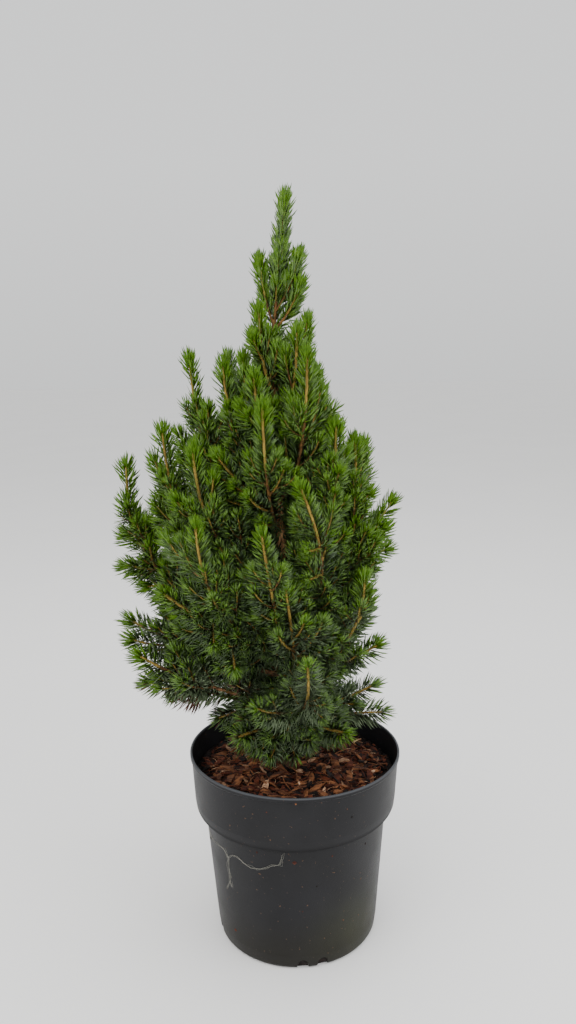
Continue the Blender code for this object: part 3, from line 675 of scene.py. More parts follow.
def side_shoots(shoots, limbs, outline, chance):
    """All side shoots, first on the old wood, then on the forks, then on the side shoots themselves."""
    trunk = [trunk_centre(height) for height in np.linspace(196, TRUNK_TIP, 60)]
    parents = [Shoot("trunk", trunk, TRUNK_WOOD)]
    parents += [Shoot(name, line, LIMB_WOOD) for name, line in limbs.items()]
    parents += [shoot for shoot in shoots if shoot.level == STEM]
    parents += [shoot for shoot in shoots if shoot.level == FORK]
    room = Room(8 * MM)
    for owner, parent in enumerate(parents):
        room.add(parent.line, owner)
        if parent.level in (STEM, FORK):
            room.add(in_front_of(parent.line), -1)
    made = []
    for owner, parent in enumerate(parents):
        if parent.level == SIDE_SHOOT and line_length(parent.line) < 20 * MM:
            continue
        for shoot in side_shoots_on(parent, owner, room, outline, chance):
            room.add(shoot.line, len(parents))
            made.append(shoot)
            parents.append(shoot)
            if shoot.level == FINE_SHOOT:
                parents.pop()
    return made


# Node trees

FLOAT, INTEGER, VECTOR = "NodeSocketFloat", "NodeSocketInt", "NodeSocketVector"
GEOMETRY, FINISH, OBJECT = "NodeSocketGeometry", "NodeSocketMaterial", "NodeSocketObject"


def plug(tree, socket, value):
    """Links an output to a socket, or sets the socket to a plain value."""
    if isinstance(value, bpy.types.NodeSocket):
        tree.links.new(value, socket)
    else:
        socket.default_value = value


def add(tree, kind, values=(), **settings):
    """A node with its settings made and its inputs filled."""
    node = tree.nodes.new(kind)
    for name, value in settings.items():
        setattr(node, name, value)
    for key, value in dict(values).items():
        plug(tree, node.inputs[key], value)
    return node


def first(tree, kind, values=(), **settings):
    """The first output of a new node."""
    return add(tree, kind, values, **settings).outputs[0]


def calc(tree, operation, *values, clamp=False):
    return first(tree, "ShaderNodeMath", enumerate(values), operation=operation, use_clamp=clamp)


def times(tree, *values, clamp=False):
    return calc(tree, "MULTIPLY", *values, clamp=clamp)


def plus(tree, *values, clamp=False):
    return calc(tree, "ADD", *values, clamp=clamp)


def minus(tree, *values):
    return calc(tree, "SUBTRACT", *values)


def above(tree, value, bound):
    return first(tree, "FunctionNodeCompare", {0: value, 1: bound}, operation="GREATER_THAN")


def stepped(tree, value, low, high):
    """A value from 0 to 1 that rises smoothly between two bounds."""
    values = {0: value, 1: low, 2: high, 3: 0.0, 4: 1.0}
    return first(tree, "ShaderNodeMapRange", values, interpolation_type="SMOOTHSTEP")


def vector_calc(tree, operation, *values):
    return first(tree, "ShaderNodeVectorMath", enumerate(values), operation=operation)


def measure(tree, operation, *values):
    """A number from vectors, such as a length."""
    return add(tree, "ShaderNodeVectorMath", enumerate(values), operation=operation).outputs["Value"]


def scaled(tree, vector, factor):
    return first(tree, "ShaderNodeVectorMath", {0: vector, "Scale": factor}, operation="SCALE")


def swung(tree, along, off, angle):
    """A direction that leaves one direction for another by an angle."""
    return vector_calc(tree, "ADD", scaled(tree, along, calc(tree, "COSINE", angle)),
                       scaled(tree, off, calc(tree, "SINE", angle)))


def joined(tree, x, y, z):
    return first(tree, "ShaderNodeCombineXYZ", {0: x, 1: y, 2: z})


def parts_of(tree, vector):
    return add(tree, "ShaderNodeSeparateXYZ", {0: vector}).outputs


def noise(tree, vector, scale, detail=2.0, distortion=0.0):
    values = {"Vector": vector, "Scale": scale, "Detail": detail, "Distortion": distortion}
    return first(tree, "ShaderNodeTexNoise", values, noise_type="FBM")


def blended(tree, factor, low, high):
    """A colour between two others."""
    return add(tree, "ShaderNodeMix", {0: factor, 6: low, 7: high}, data_type="RGBA").outputs[2]


def new_tree(name, kind, inputs, outputs):
    """A node group with its named inputs and outputs, and its two end nodes."""
    tree = bpy.data.node_groups.new(name, kind)
    for label, socket, default in inputs:
        made = tree.interface.new_socket(label, in_out="INPUT", socket_type=socket)
        if default is not None:
            made.default_value = default
    for label, socket in outputs:
        tree.interface.new_socket(label, in_out="OUTPUT", socket_type=socket)
    return tree, tree.nodes.new("NodeGroupInput").outputs, tree.nodes.new("NodeGroupOutput").inputs


# Steps of the geometry trees

def attribute(tree, name):
    return first(tree, "GeometryNodeInputNamedAttribute", {"Name": name}, data_type="FLOAT")


def chance_between(tree, low, high, seed, number):
    """A random number for each element, drawn anew for each number."""
    values = {2: low, 3: high, "Seed": plus(tree, seed, float(number))}
    return add(tree, "FunctionNodeRandomValue", values, data_type="FLOAT").outputs[1]


def spots_along(tree, lines, spacing):
    """Points at an even spacing along loose edges."""
    curves = first(tree, "GeometryNodeMeshToCurve", {"Mesh": lines})
    return first(tree, "GeometryNodeResampleCurve", {"Curve": curves, "Length": spacing}, mode="LENGTH")


def raised(tree, pieces, lift, own_axes):
    """Pieces moved up, each along its own upward axis or all straight up."""
    values = {"Instances": pieces, "Translation": joined(tree, 0.0, 0.0, lift), "Local Space": own_axes}
    return first(tree, "GeometryNodeTranslateInstances", values)


def smooth_mesh(tree, shape):
    mesh = first(tree, "GeometryNodeRealizeInstances", {"Geometry": shape})
    return first(tree, "GeometryNodeSetShadeSmooth", {"Geometry": mesh})


def painted(tree, shape, finish, picked=True):
    values = {"Geometry": shape, "Selection": picked, "Material": finish}
    return first(tree, "GeometryNodeSetMaterial", values)


def needle_shape(tree, given):
    """One needle, a metre long: a point at its foot, two corners at its belly and a curled tip."""
    spike = add(tree, "GeometryNodeMeshCone",
                {"Vertices": 3, "Radius Top": 0.0, "Radius Bottom": 1.0, "Depth": 1.0}, fill_type="NGON")
    x, y, z = parts_of(tree, first(tree, "GeometryNodeInputPosition"))
    belly = times(tree, minus(tree, 1.0, z), times(tree, minus(tree, 1.0, x), 0.667))
    level = plus(tree, given["Belly"], times(tree, y, given["Stagger"]))
    height = plus(tree, z, times(tree, belly, level))
    curl = times(tree, given["Curl"], times(tree, height, height))
    back = times(tree, belly, times(tree, given["Width Share"], -0.45))
    sideways = times(tree, y, times(tree, given["Width Share"], 0.577))
    shaped = joined(tree, plus(tree, back, curl), sideways, height)
    return first(tree, "GeometryNodeSetPosition", {"Geometry": spike.outputs["Mesh"], "Position": shaped})


def needles_tree():
    """Needles all round each guide line, a golden angle apart, steep at the tip, each with its own tint."""
    inputs = [
        ("Shoots", GEOMETRY, None), ("Spacing", FLOAT, 0.0005), ("Width Share", FLOAT, 0.07),
        ("Curl", FLOAT, 0.1), ("Belly", FLOAT, 0.4), ("Stagger", FLOAT, 0.2), ("Foot Angle", FLOAT, 58.0),
        ("Tip Angle", FLOAT, 16.0), ("Seed", INTEGER, 0),
        *[(name, FINISH, None) for name in NEEDLE_FINISHES],
    ]
    tree, given, out = new_tree("needles_on_shoots", "GeometryNodeTree", inputs, [("Needles", GEOMETRY)])
    seed = given["Seed"]

    # The way each needle stands: round the twig, off it by its angle, and drooping where it is old
    tangent = first(tree, "GeometryNodeInputTangent")
    normal = first(tree, "GeometryNodeInputNormal")
    sideways = vector_calc(tree, "CROSS_PRODUCT", tangent, normal)
    turn = plus(tree, times(tree, first(tree, "GeometryNodeInputIndex"), math.radians(GOLDEN_ANGLE)),
                chance_between(tree, -0.25, 0.25, seed, 0))
    off = swung(tree, normal, sideways, turn)
    closing = attribute(tree, "closing")
    spread = minus(tree, given["Tip Angle"], given["Foot Angle"])
    angle = plus(tree, given["Foot Angle"], times(tree, spread, closing))
    loose = plus(tree, LOOSE, times(tree, closing, LOOSER))
    angle = plus(tree, angle, times(tree, chance_between(tree, -1.0, 1.0, seed, 1), loose))
    way = swung(tree, tangent, off, calc(tree, "RADIANS", angle))
    drop = joined(tree, 0.0, 0.0, times(tree, attribute(tree, "droop"), -1.0))
    facing = first(tree, "FunctionNodeAxesToRotation",
                   {"Primary Axis": vector_calc(tree, "ADD", way, drop), "Secondary Axis": tangent},
                   primary_axis="Z", secondary_axis="X")
    size = times(tree, attribute(tree, "length"), chance_between(tree, 0.8, 1.1, seed, 2))

    # Fewer where the cover is thin, and in front of a twig that shows
    flat = vector_calc(tree, "MULTIPLY", first(tree, "GeometryNodeInputPosition"), (1.0, 1.0, 0.0))
    outwards = vector_calc(tree, "NORMALIZE", vector_calc(tree, "ADD", flat, (0.0, -0.02, 0.0)))
    facing_out = calc(tree, "MAXIMUM", measure(tree, "DOT_PRODUCT", off, outwards), 0.0)
    parted = times(tree, attribute(tree, "parting"), facing_out)
    cover = minus(tree, attribute(tree, "cover"), parted)
    result = first(tree, "GeometryNodeInstanceOnPoints", {
        "Points": spots_along(tree, given["Shoots"], given["Spacing"]),
        "Selection": above(tree, cover, chance_between(tree, 0.0, 1.0, seed, 3)),
        "Instance": needle_shape(tree, given), "Rotation": facing, "Scale": size,
    })
    result = raised(tree, result, times(tree, attribute(tree, "thickness"), 0.6), True)

    # Finishes dealt out by tint and bloom
    for number, name in enumerate(("tint", "bloom")):
        value = plus(tree, attribute(tree, name), chance_between(tree, -0.24, 0.24, seed, 4 + number))
        result = first(tree, "GeometryNodeStoreNamedAttribute",
                       {"Geometry": result, "Name": f"{name}_dealt", "Value": value},
                       data_type="FLOAT", domain="INSTANCE")
    result = smooth_mesh(tree, result)
    picks = [True, *[above(tree, attribute(tree, "tint_dealt"), step) for step in TINT_STEPS],
             *[above(tree, attribute(tree, "bloom_dealt"), step) for step in BLOOM_STEPS],
             above(tree, attribute(tree, "dry"), 0.5)]
    for finish, picked in zip(NEEDLE_FINISHES, picks):
        result = painted(tree, result, given[finish], picked)
    plug(tree, out[0], result)
    return tree


def wood_tree():
    """A round limb along each guide line, as thick as the line says, with the relief of its bark."""
    inputs = [
        ("Lines", GEOMETRY, None), ("Ring Spacing", FLOAT, 0.003), ("Sides", INTEGER, 6),
        ("Relief", FLOAT, 0.15), ("Grain", FLOAT, 500.0), ("Stretch", FLOAT, 0.3),
        *[(name, FINISH, None) for name in WOOD_FINISHES],
    ]
    tree, given, out = new_tree("wood_along_lines", "GeometryNodeTree", inputs, [("Wood", GEOMETRY)])
    thickness = attribute(tree, "thickness")
    skin = first(tree, "GeometryNodeCurveToMesh", {
        "Curve": spots_along(tree, given["Lines"], given["Ring Spacing"]),
        "Profile Curve": first(tree, "GeometryNodeCurvePrimitiveCircle",
                               {"Resolution": given["Sides"], "Radius": 1.0}),
        "Scale": thickness, "Fill Caps": True,
    })
    place = first(tree, "GeometryNodeInputPosition")
    drawn = vector_calc(tree, "MULTIPLY", place, joined(tree, 1.0, 1.0, given["Stretch"]))
    grain = noise(tree, drawn, given["Grain"], 3.0)
    knobs = noise(tree, place, times(tree, given["Grain"], 0.17), 1.0)
    bumps = plus(tree, minus(tree, grain, 0.5), minus(tree, knobs, 0.5))
    height = times(tree, bumps, times(tree, thickness, given["Relief"]))
    offset = scaled(tree, first(tree, "GeometryNodeInputNormal"), height)
    result = smooth_mesh(tree, first(tree, "GeometryNodeSetPosition", {"Geometry": skin, "Offset": offset}))
    picks = [True, *[above(tree, attribute(tree, "age"), step) for step in AGE_STEPS]]
    for finish, picked in zip(WOOD_FINISHES, picks):
        result = painted(tree, result, given[finish], picked)
    plug(tree, out[0], result)
    return tree


def litter_tree():
    """Loose pieces strewn over a bed between two radii, tilted and turned by chance."""
    inputs = [
        ("Bed", GEOMETRY, None), ("Piece", OBJECT, None), ("Spacing", FLOAT, 0.003),
        ("Inner Radius", FLOAT, 0.01), ("Outer Radius", FLOAT, 0.085), ("Smallest", FLOAT, 0.6),
        ("Largest", FLOAT, 1.2), ("Tilt", FLOAT, 20.0), ("Lift", FLOAT, 0.0005), ("Seed", INTEGER, 0),
        ("Finish", FINISH, None),
    ]
    tree, given, out = new_tree("litter_on_bed", "GeometryNodeTree", inputs, [("Litter", GEOMETRY)])
    seed = given["Seed"]
    flat = vector_calc(tree, "MULTIPLY", first(tree, "GeometryNodeInputPosition"), (1.0, 1.0, 0.0))
    radius = measure(tree, "LENGTH", flat)
    ring = first(tree, "FunctionNodeBooleanMath", {
        0: above(tree, radius, given["Inner Radius"]), 1: above(tree, given["Outer Radius"], radius),
    })
    spots = first(tree, "GeometryNodeDistributePointsOnFaces", {
        "Mesh": given["Bed"], "Distance Min": given["Spacing"], "Density Max": 900000.0, "Seed": seed,
    }, distribute_method="POISSON")
    limit = calc(tree, "RADIANS", given["Tilt"])
    back = times(tree, limit, -1.0)
    tilts = [chance_between(tree, back, limit, seed, number) for number in (1, 2)]
    turn = joined(tree, *tilts, chance_between(tree, 0.0, 2 * math.pi, seed, 3))
    placed = first(tree, "GeometryNodeInstanceOnPoints", {
        "Points": spots, "Selection": ring,
        "Instance": add(tree, "GeometryNodeObjectInfo", {"Object": given["Piece"]}).outputs["Geometry"],
        "Rotation": first(tree, "FunctionNodeEulerToRotation", {0: turn}),
        "Scale": chance_between(tree, given["Smallest"], given["Largest"], seed, 4),
    })
    placed = raised(tree, placed, given["Lift"], False)
    result = first(tree, "GeometryNodeRealizeInstances", {"Geometry": placed})
    plug(tree, out[0], painted(tree, result, given["Finish"]))
    return tree


# Guides that the trees follow

GUIDE_VALUES = (
    "closing", "parting", "droop", "length", "cover", "thickness", "tint", "bloom", "dry", "age",
)


class Guide(NamedTuple):
    """A line for the trees, with a value of each named kind at each of its points."""

    points: np.ndarray
    values: dict


def guide_mesh(name, guides):
    """One mesh of loose edges with the guides' values as attributes."""
    points = np.concatenate([guide.points for guide in guides])
    edges = []
    start = 0
    for guide in guides:
        count = len(guide.points)
        edges += [(start + k, start + k + 1) for k in range(count - 1)]
        start += count
    mesh = bpy.data.meshes.new(name)
    mesh.from_pydata(points.tolist(), edges, [])
    for key in guides[0].values:
        column = np.concatenate([np.broadcast_to(guide.values[key], len(guide.points)) for guide in guides])
        mesh.attributes.new(key, "FLOAT", "POINT").data.foreach_set("value", column.astype(np.float32))
    return mesh


def grown(name, mesh, tree, inputs):
    """The plain mesh that a tree makes from a guide mesh, as an object at the origin."""
    obj = bpy.data.objects.new(name, mesh)
    bpy.context.scene.collection.objects.link(obj)
    step = obj.modifiers.new("grow", "NODES")
    step.node_group = tree
    for item in tree.interface.items_tree:
        if item.in_out == "INPUT" and item.name in inputs:
            step[item.identifier] = inputs[item.name]
    graph = bpy.context.evaluated_depsgraph_get()
    made = bpy.data.meshes.new_from_object(obj.evaluated_get(graph))
    obj.modifiers.clear()
    obj.data = made
    names = [kind.name for kind in made.attributes]
    for extra in [name for name in names if name.endswith("_dealt") or name in GUIDE_VALUES]:
        made.attributes.remove(made.attributes[extra])
    return obj


def needle_guide(shoot, outline, chance):
    """Where a shoot's needles stand, how long and how many they are, and what tint each stretch has."""
    whole = line_length(shoot.line)
    count = max(6, int(whole / (3 * MM)))
    points = samples(shoot.line, count)
    left = (1 - np.linspace(0, 1, count + 1)) * whole / MM
    right, front, height = points[:, 0] / MM, -points[:, 1] / MM, points[:, 2] / MM
    outer = smooth_step(outline.shares(points), *OUTER_SHARES)
    side = smooth_step(np.abs(right), *SIDE_REACHES)
    young = 1 - smooth_step(left, 1, YOUNG_LENGTHS[shoot.level])

    # Painted light: on the right at middle height the needles are tinted lighter
    lit = smooth_step(right, *LIT_REACHES) * smooth_step(height, *LIT_HEIGHTS)
    # Painted shade: deep inside the crown the tint is lower and the finish darker
    tint = 0.12 + 0.24 * outer + 0.12 * side + 0.34 * smooth_step(height, *TINT_HEIGHTS) + 0.16 * lit
    strong = YOUNG_STRENGTHS[shoot.level] * (0.5 + 0.5 * smooth_step(height, *STRONG_HEIGHTS))
    tint = tint + strong * young * chance.uniform(0.7, 1.15)
    bloom = 0.8 * (1 - smooth_step(height, *BLOOM_HEIGHTS)) * (1 - 0.7 * young)
    bloom = bloom + chance.uniform(-0.14, 0.14)

    shorter = 1.1 - 0.08 * smooth_step(height, *SHORTER_HEIGHTS) - 0.19 * smooth_step(front, *FRONT_REACHES)
    length = NEEDLE * MM * NEEDLE_SHARES[shoot.level] * shorter
    length = length * (1 - 0.14 * np.exp(-left / 7)) * (1 + 0.07 * outer * side)

    opened = smooth_step(right, *OPEN_REACHES) * (1 - smooth_step(height, *OPEN_HEIGHTS))
    cover = np.where(left > whole / MM * 0.75, 0.62, 0.88) * (1 - 0.3 * outer * side - 0.25 * opened)
    if shoot.level >= SIDE_SHOOT:
        cover = cover * np.maximum(0.72 + 0.28 * outer, 1 - smooth_step(height, *THINNER_HEIGHTS))

    droop = 0.45 * (1 - smooth_step(height, *DROOP_HEIGHTS)) * smooth_step(left, *DROOP_ENDS)
    parting = PARTING[shoot.level] * smooth_step(left, *PARTING_ENDS)
    parting = parting * (1 - smooth_step(height, *PARTING_HEIGHTS))
    spreading = 1 - smooth_step(height, *SPREADING_HEIGHTS)
    upright = 0.5 * smooth_step(height, *UPRIGHT_HEIGHTS) - 0.4 * spreading
    bud = np.exp(-left / TIP_CLOSING)
    return Guide(points, {
        "closing": bud + (1 - bud) * upright, "parting": parting, "droop": droop, "length": length,
        "cover": cover, "thickness": TWIG_RADII[shoot.level][1] * MM,
        "tint": tint, "bloom": bloom, "dry": 0.0,
    })


def tuft_guide(guide, share):
    """More needles over the last few millimetres, which stand round the bud like a brush."""
    values = {key: np.broadcast_to(value, len(guide.points))[-2:] for key, value in guide.values.items()}
    values["length"] = values["length"] * share
    values["closing"] = np.array((0.45, 1.0))
    return Guide(guide.points[-2:], values)


def thicker_end(guide, whole):
    """More needles over the young end of a stem or fork, which is the fullest part of it."""
    count = len(guide.points)
    last = max(3, min(count, int(count * YOUNG_END * MM / whole)))
    values = {key: np.broadcast_to(value, count)[-last:] for key, value in guide.values.items()}
    values["cover"] = values["cover"] * np.linspace(0.1, 0.6, last)
    return Guide(guide.points[-last:], values)


def limb_needles(line, chance):
    """Sparse old needles along a limb."""
    points = samples(line, 16)
    share = np.linspace(0, 1, 17)
    return Guide(points, {
        "closing": 0.0, "parting": 0.0, "droop": 0.2, "length": NEEDLE * 0.92 * MM,
        "cover": 0.25 + 0.45 * share, "thickness": 1.9 * MM,
        "tint": 0.16 + 0.1 * share, "bloom": chance.uniform(0.0, 0.6), "dry": 0.0,
    })


def trunk_needles():
    """Needles on the upper trunk, which is still a young shoot."""
    heights = np.linspace(400, TRUNK_TIP, 50)
    points = np.array([trunk_centre(height) for height in heights])
    thickness = np.array([trunk_radius(height) for height in heights])
    share = (heights - heights[0]) / (heights[-1] - heights[0])
    return Guide(points, {
        "closing": 0.0, "parting": 0.6, "droop": 0.0, "length": NEEDLE * MM,
        "cover": 0.3 + 0.65 * share, "thickness": thickness,
        "tint": 0.2 + 0.35 * share, "bloom": 0.1, "dry": 0.0,
    })


def wood_guide(line, radii, ages, root=None):
    """A limb, stem or twig with its thickness and age, and its root carried on into its parent."""
    points = samples(line, max(5, int(line_length(line) / (5 * MM))))
    thickness = np.linspace(radii[0], radii[1], len(points)) * MM
    if root is not None:
        points = np.vstack([np.array(root), points])
        thickness = np.append(thickness[0] * 1.25, thickness)
    return Guide(points, {"thickness": thickness, "age": np.interp(np.linspace(0, 1, len(points)), *ages)})


def shoot_ages(shoot, chance):
    """How old a shoot's wood is along it: young near the tip, brown further down, then old."""
    whole = line_length(shoot.line) / MM
    young, brown = YOUNG_WOOD[shoot.level]
    shift = chance.uniform(0.8, 1.2)
    if shoot.line[-1].z < LOW_WOOD * MM and shoot.mass not in YOUNG_LOW_MASSES:
        shift *= LOW_WOOD_AGE
    shares = np.linspace(0, 1, 12)
    left = (1 - shares) * whole * shift
    return shares, np.interp(left, (0, young, brown, brown + 60), (0, *AGE_STEPS, 1.0))


# Shader groups and finishes

def mottle_group():
    """Soft irregular patches with finer ones inside: a mask, and a height for relief."""
    inputs = [("Vector", VECTOR, None), ("Scale", FLOAT, 100.0), ("Low", FLOAT, 0.4), ("High", FLOAT, 0.6)]
    tree, given, out = new_tree("mottle", "ShaderNodeTree", inputs, [("Mask", FLOAT), ("Height", FLOAT)])
    field = noise(tree, given["Vector"], given["Scale"], 4.0)
    plug(tree, out["Mask"], stepped(tree, field, given["Low"], given["High"]))
    plug(tree, out["Height"], field)
    return tree


def fibre_group():
    """Grain drawn out along one axis of the piece: a mask of dark lines, and their height."""
    inputs = [("Vector", VECTOR, None), ("Scale", FLOAT, 300.0), ("Squash", VECTOR, (1.0, 1.0, 0.2))]
    tree, given, out = new_tree("fibre", "ShaderNodeTree", inputs, [("Mask", FLOAT), ("Height", FLOAT)])
    drawn = vector_calc(tree, "MULTIPLY", given["Vector"], given["Squash"])
    field = noise(tree, drawn, given["Scale"], 5.0, distortion=0.6)
    plug(tree, out["Mask"], stepped(tree, field, 0.38, 0.62))
    plug(tree, out["Height"], field)
    return tree


def dust_group():
    """Dust that lies where the surface faces up, and thins out in patches."""
    inputs = [("Vector", VECTOR, None), ("Normal", VECTOR, None),
              ("Amount", FLOAT, 0.5), ("Scale", FLOAT, 40.0)]
    tree, given, out = new_tree("dust", "ShaderNodeTree", inputs, [("Mask", FLOAT)])
    lying = plus(tree, 0.35, times(tree, parts_of(tree, given["Normal"])[2], 0.65), clamp=True)
    patchy = stepped(tree, noise(tree, given["Vector"], given["Scale"], 6.0), 0.35, 0.75)
    plug(tree, out["Mask"], times(tree, given["Amount"], times(tree, lying, patchy)))
    return tree


def use(tree, group, values):
    node = tree.nodes.new("ShaderNodeGroup")
    node.node_tree = group
    for key, value in values.items():
        plug(tree, node.inputs[key], value)
    return node.outputs


def colour(red, green, blue):
    """A colour from its 0 to 255 values as seen on a screen."""
    def linear(value):
        value /= 255
        return value / 12.92 if value <= 0.04045 else ((value + 0.055) / 1.055) ** 2.4
    return (linear(red), linear(green), linear(blue), 1.0)


def new_finish(name, roughness, shine):
    """A Principled material with its plain values set on the shader's own sockets."""
    made = bpy.data.materials.new(name)
    made.use_nodes = True
    tree = made.node_tree
    shader = tree.nodes["Principled BSDF"]
    shader.inputs["Roughness"].default_value = roughness
    shader.inputs["Specular IOR Level"].default_value = shine
    vector = add(tree, "ShaderNodeTexCoord").outputs["Object"]
    return made, tree, shader.inputs, vector


def relief(tree, shader, height, distance):
    bump = first(tree, "ShaderNodeBump", {"Height": height, "Distance": distance, "Strength": 1.0})
    plug(tree, shader["Normal"], bump)


def plain_finish(name, tone, roughness, shine):
    made, _, shader, _ = new_finish(name, roughness, shine)
    shader["Base Color"].default_value = colour(*tone)
    return made


def needle_finish(name, dark, light, shine, roughness, mottle):
    made, tree, shader, vector = new_finish(name, roughness, shine)
    patches = use(tree, mottle, {"Vector": vector, "Scale": 260.0, "Low": 0.35, "High": 0.65})["Mask"]
    plug(tree, shader["Base Color"], blended(tree, patches, colour(*dark), colour(*light)))
    return made


def bark_finish(name, bark, fibre, mottle):
    made, tree, shader, vector = new_finish(name, 0.8, 0.25)
    lines = use(tree, fibre, {"Vector": vector, "Scale": bark.grain, "Squash": bark.squash})
    patches = use(tree, mottle, {"Vector": vector, "Scale": 90.0, "Low": 0.3, "High": 0.7})["Mask"]
    shade = times(tree, lines["Mask"], plus(tree, 0.45, times(tree, patches, 0.55)))
    body = blended(tree, shade, colour(*bark.dark), colour(*bark.light))
    # The trunk's foot turns from the painted light of its bark to a darker tone between 0.29 m and 0.2 m
    if bark.foot:
        rise = stepped(tree, parts_of(tree, vector)[2], 0.2, 0.29)
        body = blended(tree, rise, colour(*bark.foot), body)
    plug(tree, shader["Base Color"], body)
    relief(tree, shader, lines["Height"], bark.depth)
    return made


def pot_finish(mottle, fibre, dust):
    """Dark grey moulded plastic, dusty and water-marked, olive at the foot and greener low on the right."""
    made, tree, shader, vector = new_finish("pot_plastic", 0.5, 0.17)
    normal = add(tree, "ShaderNodeNewGeometry").outputs["Normal"]
    clouds = use(tree, mottle, {"Vector": vector, "Scale": 22.0, "Low": 0.25, "High": 0.75})["Mask"]
    streaks = use(tree, fibre, {"Vector": vector, "Scale": 60.0, "Squash": (1.0, 1.0, 0.12)})["Mask"]
    powder = use(tree, dust, {"Vector": vector, "Normal": normal, "Amount": 0.55, "Scale": 30.0})["Mask"]
    specks = use(tree, mottle, {"Vector": vector, "Scale": 420.0, "Low": 0.68, "High": 0.74})["Mask"]
    height = parts_of(tree, vector)[2]
    reach = measure(tree, "LENGTH", vector_calc(tree, "SUBTRACT", vector, (0.058, -0.06, 0.02)))
    green = times(tree, minus(tree, 1.0, stepped(tree, reach, 0.005, 0.07)), 0.6)
    green = times(tree, green, plus(tree, 0.4, clouds), clamp=True)
    foot = minus(tree, 1.0, stepped(tree, height, 0.01, 0.06))
    # Painted shade: a band at the shoulder, in the step under the collar, is darkened nearly to black
    lower = stepped(tree, height, (SHOULDER_FOOT[1] - 2) * MM, (SHOULDER_FOOT[1] - 0.5) * MM)
    upper = stepped(tree, height, (SHOULDER_FOOT[1] + 3) * MM, (SHOULDER_FOOT[1] + 9) * MM)
    shoulder_shade = times(tree, lower, minus(tree, 1.0, upper))
    # Painted highlight: the rim's top edge is lightened towards pale grey
    edge = stepped(tree, height, (POT_HEIGHT - 1.6) * MM, (POT_HEIGHT - 0.6) * MM)
    body = blended(tree, clouds, colour(19, 19, 21), colour(25, 25, 28))
    for mask, tone in (
        (times(tree, streaks, 0.2), (24, 24, 26)),
        (powder, (42, 41, 41)),
        (green, (42, 44, 28)),
        (times(tree, foot, 0.45), (30, 27, 17)),
        (times(tree, specks, 0.5), (120, 86, 58)),
        (times(tree, shoulder_shade, 0.45), (4, 4, 4)),
        (times(tree, edge, 0.6), (74, 76, 80)),
    ):
        body = blended(tree, mask, body, colour(*tone))
    plug(tree, shader["Base Color"], body)
    rough = plus(tree, 0.42, times(tree, powder, 0.5))
    rough = plus(tree, rough, times(tree, shoulder_shade, 0.4))
    plug(tree, shader["Roughness"], plus(tree, rough, times(tree, specks, 0.3)))
    fine = noise(tree, vector, 1500.0)
    relief(tree, shader, plus(tree, fine, times(tree, specks, 2.0)), 0.00012)
    return made


# Pieces

def keep(piece, slot, *nodes):
    """Lets a piece move with the part and stand for the nodes that it replaces. Its slot is not used."""
    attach(piece, "root")
    if nodes:
        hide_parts(*nodes)


def mesh_piece(name, points, faces, finish, smooth=True):
    mesh = bpy.data.meshes.new(name)
    mesh.from_pydata([tuple(p) for p in points], [], faces)
    mesh.materials.append(finish)
    mesh.update()
    obj = bpy.data.objects.new(name, mesh)
    bpy.context.scene.collection.objects.link(obj)
    if smooth:
        mesh.shade_smooth()
    return obj


def rounded(corners):
    """A line through corners given as radius, height and rounding, with an arc in each rounded corner."""
    line = []
    for k, (x, z, radius) in enumerate(corners):
        if not radius or k in (0, len(corners) - 1):
            line.append((x, z))
            continue
        here = Vector((x, z))
        back = Vector(corners[k - 1][:2]) - here
        ahead = Vector(corners[k + 1][:2]) - here
        half = back.angle(ahead) / 2
        trim = min(radius / math.tan(half), back.length * 0.49, ahead.length * 0.49)
        start, end = here + back.normalized() * trim, here + ahead.normalized() * trim
        line += [tuple(p) for p in bend(start, here, end, 5)]
    return line


def pot_corners():
    """The outside of the pot from its underside to its rim: radius, height and rounding in millimetres."""
    return [
        (40, 0, 0), (FOOT_CORNER[0] + 4.6, 0, 5), (*BODY_FOOT, 14), (*SHOULDER_FOOT, 1.2),
        (*SHOULDER_TOP, 6), (*COLLAR_FOOT, 9), (*LIP_FOOT, 0.8), (POT_RIM_RADIUS, POT_HEIGHT - 3.2, 0.8),
        (POT_RIM_RADIUS, POT_HEIGHT, 1.0), (POT_RIM_RADIUS - POT_WALL - 0.2, POT_HEIGHT, 0.6),
    ]


def pot_inside():
    """The inside of the pot from its rim to its floor."""
    wall = POT_WALL
    return [
        (POT_RIM_RADIUS - wall - 0.3, POT_HEIGHT - 1.5, 0.5), (COLLAR_FOOT[0] - wall, COLLAR_FOOT[1], 8),
        (COLLAR_FOOT[0] - 3.2, SHOULDER_FOOT[1] + 4, 5), (SHOULDER_FOOT[0] - wall, SHOULDER_FOOT[1], 1),
        (BODY_FOOT[0] - wall, BODY_FOOT[1], 10), (BODY_FOOT[0] - wall - 3, POT_FLOOR, 3),
        (40, POT_FLOOR, 0),
    ]


def squeezed(radius, azimuth, height):
    share = max(0.0, (height - COLLAR_FOOT[1]) / (POT_HEIGHT - COLLAR_FOOT[1]))
    return radius - RIM_SQUEEZE * share * math.cos(2 * math.radians(azimuth - RIM_SQUEEZE_AZIMUTH))


def turned(outline, sides):
    """Points and faces of an outline turned about the pot's axis, closed at both ends."""
    points = []
    for radius, height in outline:
        for k in range(sides):
            azimuth = 360 * k / sides
            points.append(around(azimuth, squeezed(radius, azimuth, height) * MM, height * MM))
    faces = []
    for k in range(len(outline) - 1):
        for j in range(sides):
            a, b = k * sides + j, k * sides + (j + 1) % sides
            faces.append((a, b, b + sides, a + sides))
    for row, height in ((0, outline[0][1]), (len(outline) - 1, outline[-1][1])):
        pole = len(points)
        points.append(Vector((0, 0, height * MM)))
        rim = [row * sides + j for j in range(sides)]
        pairs = list(zip(rim, rim[1:] + rim[:1]))
        faces += [(pole, b, a) if row == 0 else (pole, a, b) for a, b in pairs]
    return points, faces


